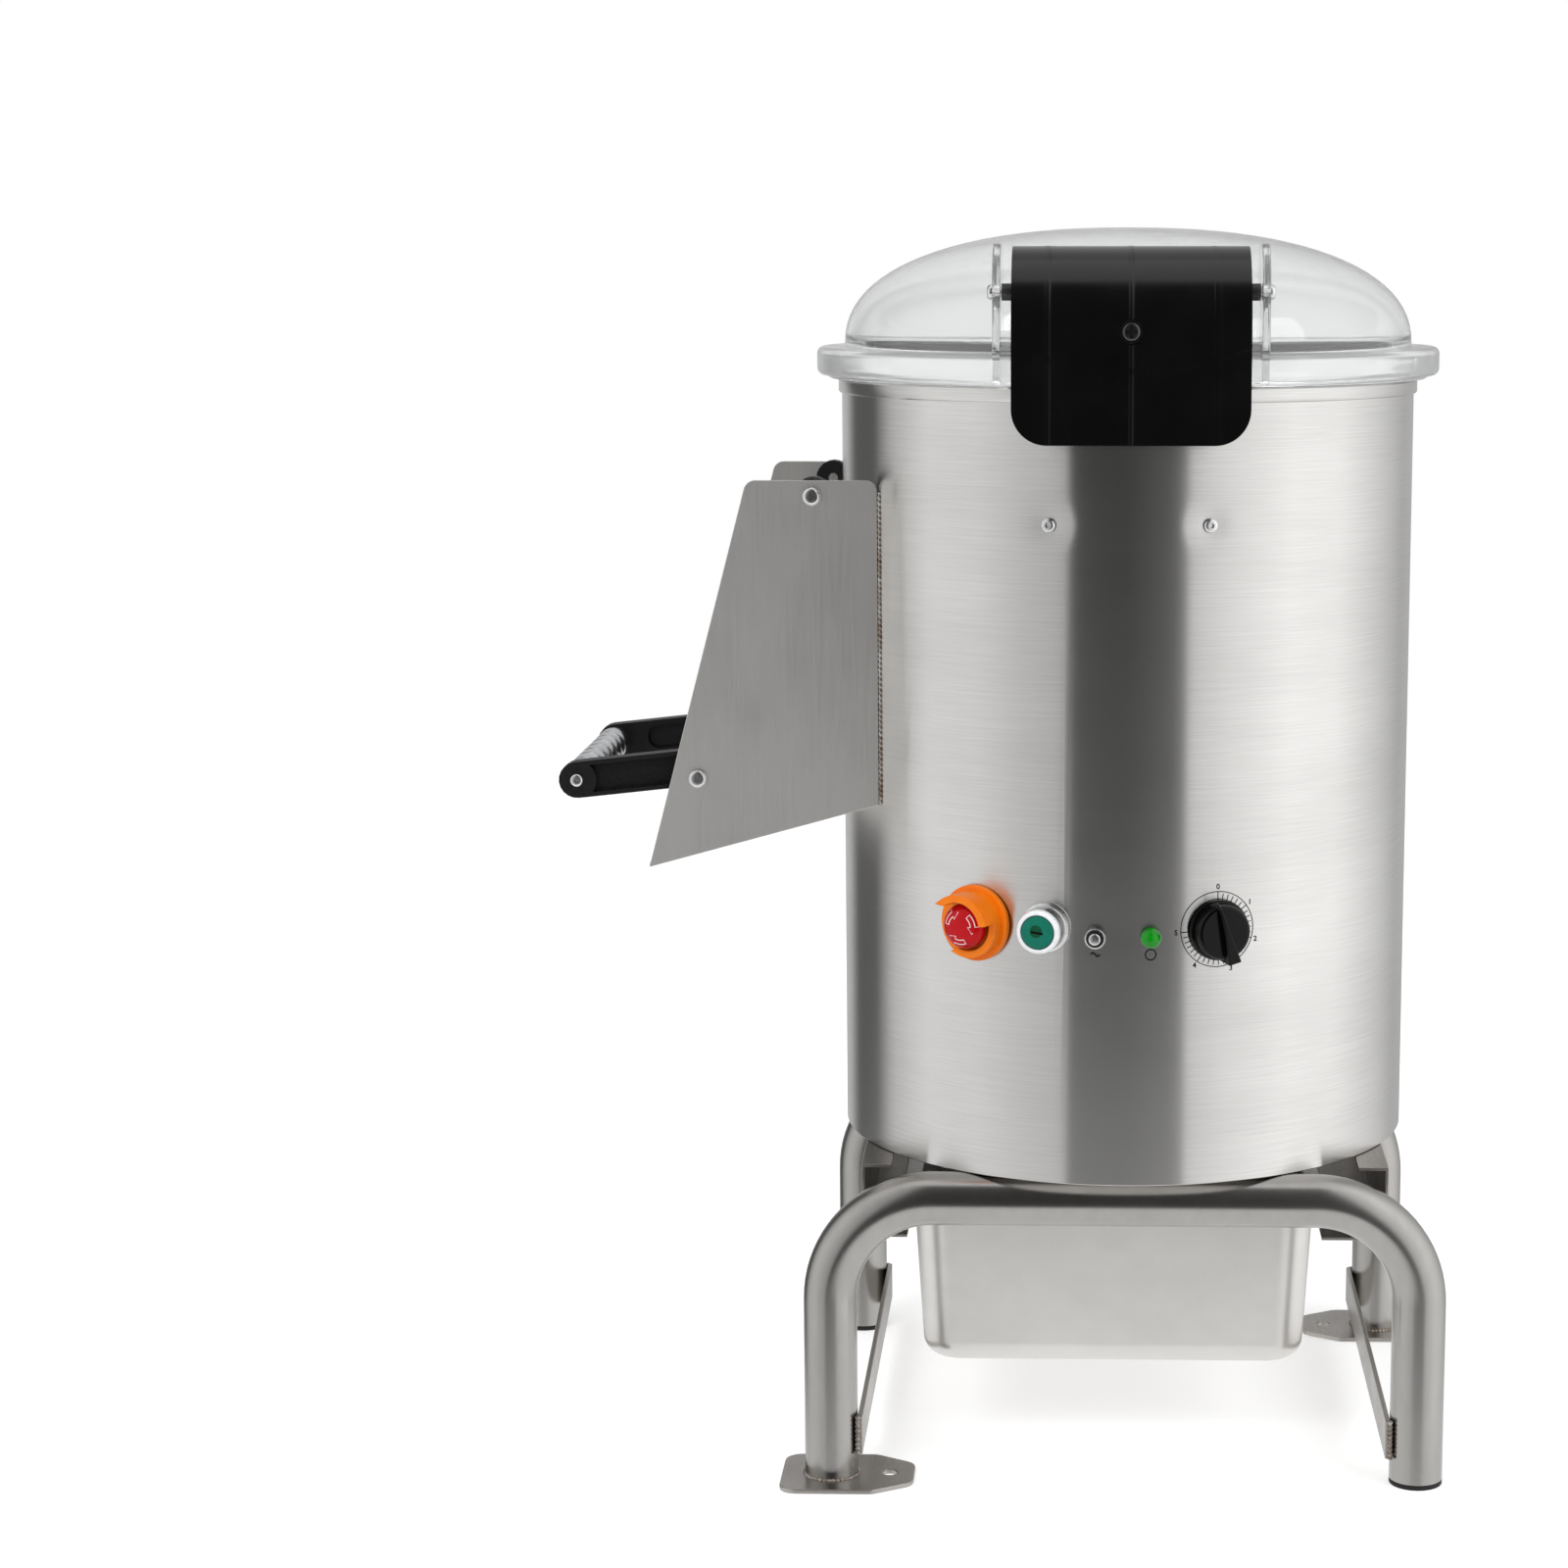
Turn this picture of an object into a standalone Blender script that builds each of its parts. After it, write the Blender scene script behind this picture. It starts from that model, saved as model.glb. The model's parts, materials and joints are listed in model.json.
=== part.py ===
"""Electric potato peeler: a steel drum on a tubular stand, with a clear lid, a
front latch, a side chute with a swinging door, controls and a waste pan.

Metres, +Z up. The drum's axis is x = y = 0 of the carrier called peeler, the
stand's feet are at z = 0, the controls face -Y and the chute leaves on -X.
"""
import math

import bmesh
import bpy
from mathutils import Matrix, Vector

# Shared by all pieces
GAP = 0.0003
OVERRUN = 0.005
SHARP_ANGLE = math.radians(35)
DRUM_SIDES = 72
TUBE_SIDES = 16
ROUND_SIDES = 24
SMALL_SIDES = 16
SCREW_SIDES = 12

# Tubular stand
TUBE_RADIUS = 0.016
TUBE_WALL = 0.0015
BAR_HEIGHT = 0.1745
BEND_RADIUS = 0.062
BEND_STEPS = 6
LEG_OUTSET = 0.001
LEG_INSET = 0.0285
FOOT_THICKNESS = 0.003
FOOT_HALF_WIDTH = 0.0305
FOOT_OUTER_REACH = 0.030
FOOT_INNER_REACH = 0.050
FOOT_TIP_HALF_WIDTH = 0.016
FOOT_TAPER_START = 0.026
FOOT_CORNER = 0.010
FOOT_HOLE_RADIUS = 0.0045
FOOT_HOLE_REACH = 0.035
CAP_PLUG_DEPTH = 0.016
CAP_PLUG_CLEARANCE = 0.0009
STRAP_HEIGHT = 0.024
STRAP_THICKNESS = 0.003
STRAP_RISE = 0.017
STRAP_END_LAP = 0.008

# Drum
DRUM_RADIUS = 0.175
DRUM_WALL = 0.0015
HEAD_SPACE = 0.0787
RIM_PROUD = 0.002
RIM_DEPTH = 0.0085
BASE_THICKNESS = 0.003
MACHINE_SPACE = 0.2032
FLOOR_THICKNESS = 0.003
LINER_THICKNESS = 0.002
LINER_TOP_SPACE = 0.014
LINER_SCREW_ALONG = 0.04673
LINER_SCREW_HEIGHT = 0.3862
LINER_SCREW_MARGIN = 0.005
SCREW_HEAD_RADIUS = 0.0042
SCREW_HEAD_HEIGHT = 0.0026
SCREW_SHANK_RADIUS = 0.0021
SCREW_SHANK_LENGTH = 0.0060
BORE_CLEARANCE = 0.0004
# A screw head's outline above its seat, as shares of its radius and height
SCREW_CROWN_SHARES = ((1.0, 0.33), (0.8, 0.8), (0.4, 1.0))

# Drive under the chamber
DISC_CLEARANCE = 0.007
DISC_THICKNESS = 0.012
DISC_EDGE_CLEARANCE = 0.010
DISC_WAVE_HEIGHT = 0.008
DISC_WAVES = 2
DISC_SIDES = 48
DISC_RING_SHARES = (0.8, 0.5, 0.2)
SHAFT_RADIUS = 0.010
HOUSING_RADIUS = 0.024
HOUSING_FLANGE_RADIUS = 0.030
HOUSING_FLANGE_THICKNESS = 0.006
HOUSING_PULLEY_SPACE = 0.0109
HOUSING_NECK_RADIUS = 0.018
HOUSING_NECK_RISE = 0.003
PULLEY_SIDES = 32
PULLEY_RISE = 0.014
PULLEY_WIDTH = 0.015
PULLEY_FLANGE = 0.005
SPINDLE_PULLEY_PITCH = 0.048
MOTOR_PULLEY_PITCH = 0.017
PULLEY_BORE_CLEARANCE = 0.0004
BELT_WIDTH = 0.008
BELT_THICKNESS = 0.004
BELT_ARC_STEPS = 12
MOTOR_HOUSING_SPACE = 0.016
MOTOR_PULLEY_SPACE = 0.0309
MOTOR_FLANGE_OVERLAP = 0.005
MOTOR_FLANGE_THICKNESS = 0.008
MOTOR_WALL_CLEARANCE = 0.0075
MOTOR_SHAFT_RADIUS = 0.007
MOTOR_SHAFT_DEPTH = 0.018
RUNNING_CLEARANCE = 0.0006

# Drain
DRAIN_X = 0.085
DRAIN_Y = -0.060
DRAIN_RADIUS = 0.020
DRAIN_WALL = 0.0015
DRAIN_DROP = 0.026

# Waste pan and its runners
PAN_X = -0.006
PAN_WIDTH = 0.265
PAN_SIDE_SPACE = 0.0215
PAN_LENGTH = 0.300
PAN_FRONT_SET = 0.0225
PAN_BEND_CLEARANCE = 0.0014
PAN_DEPTH = 0.097
PAN_RIM_WIDTH = 0.0095
PAN_RIM_HEIGHT = 0.0025
PAN_TAPER = 0.0055
PAN_WALL = 0.0012
PAN_CORNER = 0.022
PAN_FOOT_ROUND = 0.014
PAN_ROUND_STEPS = 3
PAN_CORNER_STEPS = 5
RUNNER_LEG_CLEARANCE = 0.002
RUNNER_SHEET = 0.002
RUNNER_TOP_WIDTH = 0.018
RUNNER_BODY_CLEARANCE = 0.0015

# Door opening, chute and door
OPENING_HALF_WIDTH = 0.080
OPENING_HEIGHT = 0.160
DOOR_LAP = 0.008
DOOR_SHEET = 0.002
SEAL_THICKNESS = 0.0024
DOOR_SIDE_LAP = 0.010
DOOR_STEPS = 14
DOOR_AXIS_RISE = 0.004
DOOR_AXIS_OUTSET = 0.012
DOOR_FLOOR_CLEARANCE = 0.0048
CHUTE_DOOR_CLEARANCE = 0.0034
CHUTE_SHEET = 0.002
CHUTE_HEAD = 0.0094
CHUTE_TOP_REACH = 0.0509
CHUTE_FOOT_REACH = 0.1122
CHUTE_FALL = 0.0385
CHUTE_CORNER = 0.007
HINGE_SCREW_RADIUS = 0.003
HINGE_HEAD_RADIUS = 0.0055
HINGE_HEAD_HEIGHT = 0.003
CATCH_INSET = 0.0302
CATCH_RISE = 0.0024
CATCH_NUB_CLEARANCE = 0.001
ARM_CHUTE_CLEARANCE = 0.0054
ARM_THICKNESS = 0.012
ARM_BOSS_RADIUS = 0.011
ARM_HALF_HEIGHT = 0.011
ARM_ELBOW_RISE = 0.016
ARM_ELBOW_ROUND = 0.012
ARM_HEEL_ROUND = 0.008
ARM_SHOULDER_DROP = 0.020
ARM_ROUND_STEPS = 10
ARM_RECESS_DEPTH = 0.003
ARM_RECESS_EDGE = 0.0035
ARM_RECESS_ROUND_SHARE = 0.9
GRIP_REACH = 0.156
GRIP_RISE = 0.0086
GRIP_RADIUS = 0.010
GRIP_GROOVE = 0.0013
GRIP_RIBS = 13
GRIP_SCREW_RADIUS = 0.0025
GRIP_HEAD_RADIUS = 0.0038
GRIP_HEAD_HEIGHT = 0.0022

# Lid
FLANGE_OVERHANG = 0.013
FLANGE_HEIGHT = 0.017
FLANGE_ROUND = 0.004
LIP_OVERHANG = 0.006
LIP_HEIGHT = 0.002
DOME_INSET = 0.004
DOME_HEIGHT = 0.0703
DOME_SHOULDER = 0.001
DOME_ROUNDNESS = 2.3
DOME_STEPS = 7
DOME_TOP_ANGLE = 86
LID_WALL = 0.003
LID_SIDES = 48

# Lid hinge at the rear
HINGE_OUTSET = 0.016
KNUCKLE_RADIUS = 0.007
KNUCKLE_STEPS = 12
HINGE_PIN_RADIUS = 0.004
BRACKET_HALF_WIDTH = 0.012
BRACKET_FOOT_DROP = 0.064
BRACKET_SHELF_DROP = 0.024
LEAF_HALF_WIDTH = 0.026
LEAF_THICKNESS = 0.003
LEAF_INSET = 0.012
PIN_END = 0.002

# Latch
LATCH_STANDOFF = 0.003
LATCH_THICKNESS = 0.004
LATCH_HALF_WIDTH = 0.067
LATCH_SKIRT = 0.0335
LATCH_STRAIGHT = 0.0629
LATCH_TOP_RISE = 0.077
LATCH_CROWN_REACH = 0.047
LATCH_CORNER = 0.020
LATCH_CORNER_STEPS = 4
LATCH_ARC_STEPS = 7
LATCH_AXIS_INSET = 0.022
LATCH_AXIS_RISE = 0.051
LUG_THICKNESS = 0.006
LUG_HALF_HEIGHT = 0.009
EAR_THICKNESS = 0.0045
EAR_SPACE = 0.0062
EAR_FRONT_INSET = 0.004
EAR_BACK_INSET = 0.070
EAR_TOP_RISE = 0.078
EAR_ROUND = 0.026
LATCH_PIN_RADIUS = 0.0025
LATCH_HEAD_RADIUS = 0.0042
LATCH_HEAD_HEIGHT = 0.0030
LATCH_SCREW_RECESS = 0.0062
LATCH_SCREW_SINK = 0.002

# Controls
ESTOP_DROP = 0.0506
START_DROP = 0.0497
RESET_DROP = 0.0552
LAMP_DROP = 0.0548
TIMER_DROP = 0.0510
ESTOP_ALONG = -0.09163
START_ALONG = -0.04734
RESET_ALONG = -0.01833
LAMP_ALONG = 0.01374
TIMER_ALONG = 0.05345
SHROUD_SHELF = 0.003
SHROUD_BASE = 0.0035
SHROUD_DEPTH = 0.036
SWITCH_NECK_RADIUS = 0.0109
GUARD_CLEARANCE = 0.0018
GUARD_WALL = 0.0045
GUARD_HEIGHT = 0.012
GUARD_HOOD_HEIGHT = 0.023
GUARD_STEPS = 14
GUARD_BEAK = 0.0005
GUARD_BEAK_LEAD = 14
# Angles round the button: where the hood starts and ends, and the low rail's two ends
HOOD_ANGLES = (8, 126)
RAIL_ANGLES = (16, -111)
STEM_RADIUS = 0.0062
STEM_DEPTH = 0.010
MUSHROOM_RADIUS = 0.0132
MUSHROOM_RISE = 0.011
MUSHROOM_HEIGHT = 0.009
MUSHROOM_CROWN_SHARES = ((1.0, 0.4), (0.88, 0.75), (0.6, 0.95), (0.25, 1.0))
BEZEL_RIM = 0.0028
BEZEL_FLARE = 0.0020
BEZEL_HEIGHT = 0.019
BEZEL_ROUND = 0.002
BEZEL_STEP = 0.005
BEZEL_FACE_CLEARANCE = 0.0004
CAP_RADIUS = 0.0096
CAP_RISE = 0.010
CAP_PROUD = 0.0008
CAP_STEM_RADIUS = 0.0070
COLLAR_RADIUS = 0.006
COLLAR_HEIGHT = 0.0035
COLLAR_NECK_RADIUS = 0.0049
COLLAR_DEPTH = 0.012
BUTTON_RADIUS = 0.0035
BUTTON_PROUD = 0.0025
BUTTON_FACE_SHARE = 0.7
LAMP_RADIUS = 0.006
LAMP_BASE = 0.0016
LAMP_HEIGHT = 0.007
LAMP_NECK_RADIUS = 0.004
LAMP_DEPTH = 0.014
LAMP_DOME_ANGLE = 75
LAMP_DOME_STEPS = 4
KNOB_RADIUS = 0.0178
KNOB_LIFT = 0.0010
KNOB_SKIRT = 0.0030
KNOB_BODY_RADIUS = 0.0160
KNOB_HEIGHT = 0.013
KNOB_SHOULDER_SHARE = 0.8
KNOB_FACE_SHARE = 0.85
KNOB_WING_HEIGHT = 0.019
KNOB_WING_BACK_HALF = 0.0012
KNOB_WING_TIP_HALF = 0.0040
KNOB_WING_TIP = 0.0180
KNOB_POINTS_TO = -75.0
KNOB_SHAFT_RADIUS = 0.003
KNOB_SHAFT_DEPTH = 0.020
TIMER_BODY_HALF = 0.019
TIMER_BODY_DEPTH = 0.036
TIMER_BODY_SET = 0.0032

# Connections at the back
GLAND_HEIGHT = 0.040
GLAND_NUT_RADIUS = 0.012
GLAND_NUT_LENGTH = 0.008
GLAND_DOME_RADIUS = 0.009
GLAND_LENGTH = 0.018
GLAND_BORE = 0.0045
GLAND_DEPTH = 0.010
GLAND_NECK_RADIUS = 0.0078
GLAND_MOUTH_SHARE = 0.8
INLET_DROP = 0.0499
INLET_FLANGE_RADIUS = 0.014
INLET_FLANGE_LENGTH = 0.005
INLET_TAIL_RADIUS = 0.0078
INLET_BARB = 0.0012
INLET_BARBS = 3
INLET_BARB_PITCH = 0.008
INLET_BORE = 0.005
INLET_DEPTH = 0.007

# Levels, sizes and places that follow from the sizes above
BAR_TOP = BAR_HEIGHT + TUBE_RADIUS
# The legs stand outside the drum, and as far apart as the pan between them needs
PAN_EDGE = PAN_WIDTH / 2 + abs(PAN_X)
LEG_X = max(DRUM_RADIUS + LEG_OUTSET, PAN_EDGE + PAN_SIDE_SPACE + TUBE_RADIUS)
LEG_Y = DRUM_RADIUS - LEG_INSET
LEG_INNER = LEG_X - TUBE_RADIUS
DRUM_BOTTOM = BAR_TOP + GAP
DRUM_BORE = DRUM_RADIUS - DRUM_WALL
RIM_RADIUS = DRUM_RADIUS + RIM_PROUD
INNER_FIT = DRUM_BORE * math.cos(math.pi / DRUM_SIDES) - GAP
FLOOR_UNDERSIDE = DRUM_BOTTOM + MACHINE_SPACE
FLOOR_LEVEL = FLOOR_UNDERSIDE + FLOOR_THICKNESS
DISC_BOTTOM = FLOOR_LEVEL + DISC_CLEARANCE
DISC_TOP = DISC_BOTTOM + DISC_THICKNESS
OPENING_LOW = DISC_TOP
OPENING_HIGH = OPENING_LOW + OPENING_HEIGHT
# The drum's wall ends above the opening, and its rim clears the liner screws
LINER_SCREW_Z = DRUM_BOTTOM + LINER_SCREW_HEIGHT
SCREW_ROOM = SCREW_HEAD_RADIUS + LINER_SCREW_MARGIN + RIM_DEPTH
DRUM_TOP = max(OPENING_HIGH + HEAD_SPACE, LINER_SCREW_Z + SCREW_ROOM)
LINER_BOTTOM = FLOOR_LEVEL + GAP
LINER_TOP = DRUM_TOP - LINER_TOP_SPACE
LINER_SCREW_AZIMUTH = math.degrees(LINER_SCREW_ALONG / DRUM_RADIUS)
# The drive fills the space between the base plate and the chamber's floor
PULLEY_BOTTOM = DRUM_BOTTOM + BASE_THICKNESS + PULLEY_RISE
PULLEY_TOP = PULLEY_BOTTOM + PULLEY_WIDTH
HOUSING_BOTTOM = PULLEY_TOP + HOUSING_PULLEY_SPACE
MOTOR_BOTTOM = PULLEY_TOP + MOTOR_PULLEY_SPACE
MOTOR_ROOM = DRUM_BORE - MOTOR_WALL_CLEARANCE - HOUSING_FLANGE_RADIUS - MOTOR_HOUSING_SPACE
MOTOR_FLANGE_RADIUS = MOTOR_ROOM / 2
MOTOR_RADIUS = MOTOR_FLANGE_RADIUS - MOTOR_FLANGE_OVERLAP
MOTOR_Y = DRUM_BORE - MOTOR_FLANGE_RADIUS - MOTOR_WALL_CLEARANCE
# The controls sit on the wall in front of the drive, below the chamber's floor
ESTOP_Z = FLOOR_UNDERSIDE - ESTOP_DROP
START_Z = FLOOR_UNDERSIDE - START_DROP
RESET_Z = FLOOR_UNDERSIDE - RESET_DROP
LAMP_Z = FLOOR_UNDERSIDE - LAMP_DROP
TIMER_Z = FLOOR_UNDERSIDE - TIMER_DROP
ESTOP_AZIMUTH = math.degrees(ESTOP_ALONG / DRUM_RADIUS)
START_AZIMUTH = math.degrees(START_ALONG / DRUM_RADIUS)
RESET_AZIMUTH = math.degrees(RESET_ALONG / DRUM_RADIUS)
LAMP_AZIMUTH = math.degrees(LAMP_ALONG / DRUM_RADIUS)
TIMER_AZIMUTH = math.degrees(TIMER_ALONG / DRUM_RADIUS)
GUARD_INNER_RADIUS = MUSHROOM_RADIUS + GUARD_CLEARANCE
SHROUD_RADIUS = GUARD_INNER_RADIUS + GUARD_WALL + SHROUD_SHELF
BEZEL_FRONT_RADIUS = CAP_RADIUS + BEZEL_FACE_CLEARANCE + BEZEL_RIM
BEZEL_RADIUS = BEZEL_FRONT_RADIUS + BEZEL_FLARE
# The door laps the opening, the chute clears the door, and the arms run inside the chute
DOOR_LOW = OPENING_LOW - DOOR_LAP
DOOR_HIGH = OPENING_HIGH + DOOR_LAP
DOOR_HALF_WIDTH = OPENING_HALF_WIDTH + DOOR_SIDE_LAP
DOOR_INNER_RADIUS = DRUM_RADIUS + SEAL_THICKNESS + 2 * GAP
DOOR_OUTER_RADIUS = DOOR_INNER_RADIUS + DOOR_SHEET
DOOR_AXIS_X = -(DRUM_RADIUS + DOOR_AXIS_OUTSET)
DOOR_AXIS_Z = DOOR_HIGH + DOOR_AXIS_RISE
CHUTE_TOP_Z = DOOR_AXIS_Z + CHUTE_HEAD
CHUTE_LOW_Z = DOOR_LOW - DOOR_FLOOR_CLEARANCE
CHUTE_INNER_FACE = DOOR_HALF_WIDTH + CHUTE_DOOR_CLEARANCE
CHUTE_OUTER_FACE = CHUTE_INNER_FACE + CHUTE_SHEET
CHUTE_JOINT_X = -(math.sqrt(DRUM_RADIUS ** 2 - CHUTE_INNER_FACE ** 2) + GAP)
ARM_OUTER_FACE = CHUTE_INNER_FACE - ARM_CHUTE_CLEARANCE
ARM_INNER_FACE = ARM_OUTER_FACE - ARM_THICKNESS
GRIP_X = -(DRUM_RADIUS + GRIP_REACH)
GRIP_Z = DOOR_LOW + GRIP_RISE
CATCH_X = -(DRUM_RADIUS + CHUTE_FOOT_REACH - CATCH_INSET)
CATCH_Z = GRIP_Z + CATCH_RISE
# The lid covers the drum's rim, and its hinge and latch follow its flange
FLANGE_RADIUS = RIM_RADIUS + FLANGE_OVERHANG
LIP_RADIUS = RIM_RADIUS + LIP_OVERHANG
DOME_RADIUS = RIM_RADIUS - DOME_INSET
LID_BORE = DOME_RADIUS - LID_WALL
LID_BOTTOM = DRUM_TOP + GAP
FLANGE_BOTTOM = LID_BOTTOM + LIP_HEIGHT
FLANGE_TOP = FLANGE_BOTTOM + FLANGE_HEIGHT
DOME_BASE = FLANGE_TOP + DOME_SHOULDER
HINGE_Y = FLANGE_RADIUS + HINGE_OUTSET
HINGE_Z = FLANGE_TOP - KNUCKLE_RADIUS
LATCH_FRONT = -(FLANGE_RADIUS + LATCH_STANDOFF + LATCH_THICKNESS)
LATCH_LOW = FLANGE_BOTTOM - LATCH_SKIRT
LATCH_ARC_Z = LATCH_LOW + LATCH_STRAIGHT
LATCH_TOP = FLANGE_BOTTOM + LATCH_TOP_RISE
LATCH_AXIS_Y = -(FLANGE_RADIUS - LATCH_AXIS_INSET)
LATCH_AXIS_Z = FLANGE_BOTTOM + LATCH_AXIS_RISE
EAR_INNER_FACE = LATCH_HALF_WIDTH + EAR_SPACE
EAR_OUTER_FACE = EAR_INNER_FACE + EAR_THICKNESS
# The inlet enters under the hinge's bracket, the cable above the base plate
INLET_Z = DRUM_TOP - BRACKET_FOOT_DROP - INLET_DROP
GLAND_Z = DRUM_BOTTOM + GLAND_HEIGHT
# The pan passes between the legs, and its rim just clears the bends of the tubes
BEND_X = LEG_X - BEND_RADIUS
BEND_Z = BAR_HEIGHT - BEND_RADIUS
BEND_INNER = BEND_RADIUS - TUBE_RADIUS
PAN_REACH = max(0.0, PAN_EDGE - BEND_X)
PAN_RIM_TOP = BEND_Z + math.sqrt(BEND_INNER ** 2 - PAN_REACH ** 2) - PAN_BEND_CLEARANCE
PAN_RIM_BOTTOM = PAN_RIM_TOP - PAN_RIM_HEIGHT
PAN_LEDGE_Z = PAN_RIM_BOTTOM - GAP
PAN_BOTTOM = PAN_RIM_TOP - PAN_DEPTH
PAN_FRONT_Y = -(LEG_Y - TUBE_RADIUS - PAN_FRONT_SET)
PAN_Y = PAN_FRONT_Y + PAN_LENGTH / 2
PAN_BODY_HALF = PAN_WIDTH / 2 - PAN_RIM_WIDTH
RUNNER_OUTSET = LEG_INNER - RUNNER_LEG_CLEARANCE

# The origin is under the middle of the overall box
BOX_LEFT = GRIP_X - ARM_BOSS_RADIUS
BOX_RIGHT = LEG_X + FOOT_OUTER_REACH
BOX_FRONT = LATCH_FRONT
BOX_BACK = HINGE_Y + KNUCKLE_RADIUS


def clear_scene():
    """Remove whatever the scene holds."""
    for thing in list(bpy.data.objects):
        bpy.data.objects.remove(thing, do_unlink=True)


def finish(name, colour, roughness, metallic=0.0):
    """A plain surface: colour, roughness and metallic value."""
    made = bpy.data.materials.new(name)
    made.use_nodes = True
    shader = made.node_tree.nodes["Principled BSDF"]
    shader.inputs["Base Color"].default_value = (*colour, 1.0)
    shader.inputs["Roughness"].default_value = roughness
    shader.inputs["Metallic"].default_value = metallic
    return made


def carrier(name, parent=None, matrix=None):
    """An empty that carries pieces, standing on their joint's axis."""
    empty = bpy.data.objects.new(name, None)
    bpy.context.collection.objects.link(empty)
    empty.parent = parent
    if matrix is not None:
        empty.matrix_basis = matrix
    return empty


def piece(name, shape, surface, parent, local=False):
    """Make an object from a bmesh. Shapes are drawn in the drum's frame, or in
    their carrier's own frame when local is set."""
    mesh = bpy.data.meshes.new(name)
    shape.to_mesh(mesh)
    shape.free()
    if not local:
        mesh.transform(parent.matrix_basis.inverted())
    mesh.materials.append(surface)
    made = bpy.data.objects.new(name, mesh)
    bpy.context.collection.objects.link(made)
    made.parent = parent
    mesh.shade_smooth()
    mesh.set_sharp_from_angle(angle=SHARP_ANGLE)
    return made


def guide(name, shape, surface, parent, local=False):
    """A shape that only cuts or joins other pieces."""
    made = piece(name, shape, surface, parent, local)
    made.hide_render = True
    made.display_type = "WIRE"
    return made


def combine(target, tool, operation="DIFFERENCE"):
    """Cut a guide out of a piece, or join it on."""
    step = target.modifiers.new(tool.name, "BOOLEAN")
    step.operation = operation
    step.solver = "EXACT"
    step.object = tool


def skin(rings, closed=False):
    """Bridge equal loops of points, with end caps unless the last meets the first."""
    shape = bmesh.new()
    loops = [[shape.verts.new(point) for point in ring] for ring in rings]
    pairs = list(zip(loops, loops[1:]))
    if closed:
        pairs.append((loops[-1], loops[0]))
    else:
        shape.faces.new(loops[0])
        shape.faces.new(loops[-1])
    for near, far in pairs:
        for i in range(len(near)):
            j = (i + 1) % len(near)
            shape.faces.new((near[i], near[j], far[j], far[i]))
    bmesh.ops.recalc_face_normals(shape, faces=shape.faces)
    return shape


def moved(shape, matrix):
    """The same shape after a transform."""
    shape.transform(matrix)
    return shape


def aimed(direction, at):
    """A transform that stands at a point with its Z axis along a direction."""
    turn = Vector((0, 0, 1)).rotation_difference(Vector(direction))
    return Matrix.Translation(at) @ turn.to_matrix().to_4x4()


def turned(profile, sides=ROUND_SIDES, closed=False):
    """Turn an outline of (radius, height) points about Z."""
    angles = [2 * math.pi * k / sides for k in range(sides)]
    rings = [[(r * math.cos(a), r * math.sin(a), z) for a in angles] for r, z in profile]
    return skin(rings, closed)


def prism(outline, low, high, plane="XY"):
    """Extrude an outline drawn in a plane from one depth to another."""
    order = {"XY": (0, 1, 2), "XZ": (0, 2, 1), "YZ": (1, 2, 0)}[plane]
    rings = []
    for depth in (low, high):
        ring = []
        for across, up in outline:
            point = [0, 0, 0]
            point[order[0]], point[order[1]], point[order[2]] = across, up, depth
            ring.append(point)
        rings.append(ring)
    return skin(rings)


def block(low, high):
    """A box between two corners."""
    outline = [(low[0], low[1]), (high[0], low[1]), (high[0], high[1]), (low[0], high[1])]
    return prism(outline, low[2], high[2])


def arc(centre, radius, start, end, steps, rise=None):
    """Points on a circle, or on an ellipse of another rise, between two angles in degrees."""
    rise = radius if rise is None else rise
    angles = [math.radians(start + (end - start) * k / steps) for k in range(steps + 1)]
    return [(centre[0] + radius * math.cos(a), centre[1] + rise * math.sin(a)) for a in angles]


def filleted(corners, steps=4):
    """An outline through corners (across, up, radius), each rounded by its radius."""
    outline = []
    for i, (across, up, radius) in enumerate(corners):
        here = Vector((across, up))
        if radius == 0:
            outline.append((across, up))
            continue
        back = (Vector(corners[i - 1][:2]) - here).normalized()
        ahead = (Vector(corners[(i + 1) % len(corners)][:2]) - here).normalized()
        half = back.angle(ahead) / 2
        reach = radius / math.tan(half)
        centre = here + (back + ahead).normalized() * (radius / math.sin(half))
        start = (here + back * reach - centre).normalized()
        end = (here + ahead * reach - centre).normalized()
        for k in range(steps + 1):
            outline.append(tuple(centre + start.slerp(end, k / steps) * radius))
    return outline


def rounded_box_ring(half_x, half_y, radius, z, centre, steps):
    """A loop round a rectangle with rounded corners."""
    corners = [(-half_x, -half_y), (half_x, -half_y), (half_x, half_y), (-half_x, half_y)]
    outline = filleted([(x, y, radius) for x, y in corners], steps)
    return [(centre[0] + x, centre[1] + y, z) for x, y in outline]


def panel_frame(azimuth, height):
    """A transform for a control: Z out of the drum's wall, Y up, X to the viewer's right."""
    turn = math.radians(azimuth)
    out = Vector((math.sin(turn), -math.cos(turn), 0))
    right = Vector((math.cos(turn), math.sin(turn), 0))
    matrix = Matrix((right, (0, 0, 1), out)).transposed().to_4x4()
    matrix.translation = out * DRUM_RADIUS + Vector((0, 0, height))
    return matrix


def screw_shape(head_radius, head_height, shank_radius, shank_length):
    """A button-head screw standing on z = GAP with its shank below."""
    base = GAP
    profile = [
        (shank_radius, -shank_length),
        (shank_radius, base),
        (head_radius, base),
    ]
    for across, up in SCREW_CROWN_SHARES:
        profile.append((head_radius * across, base + head_height * up))
    return turned(profile, SCREW_SIDES)


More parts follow.
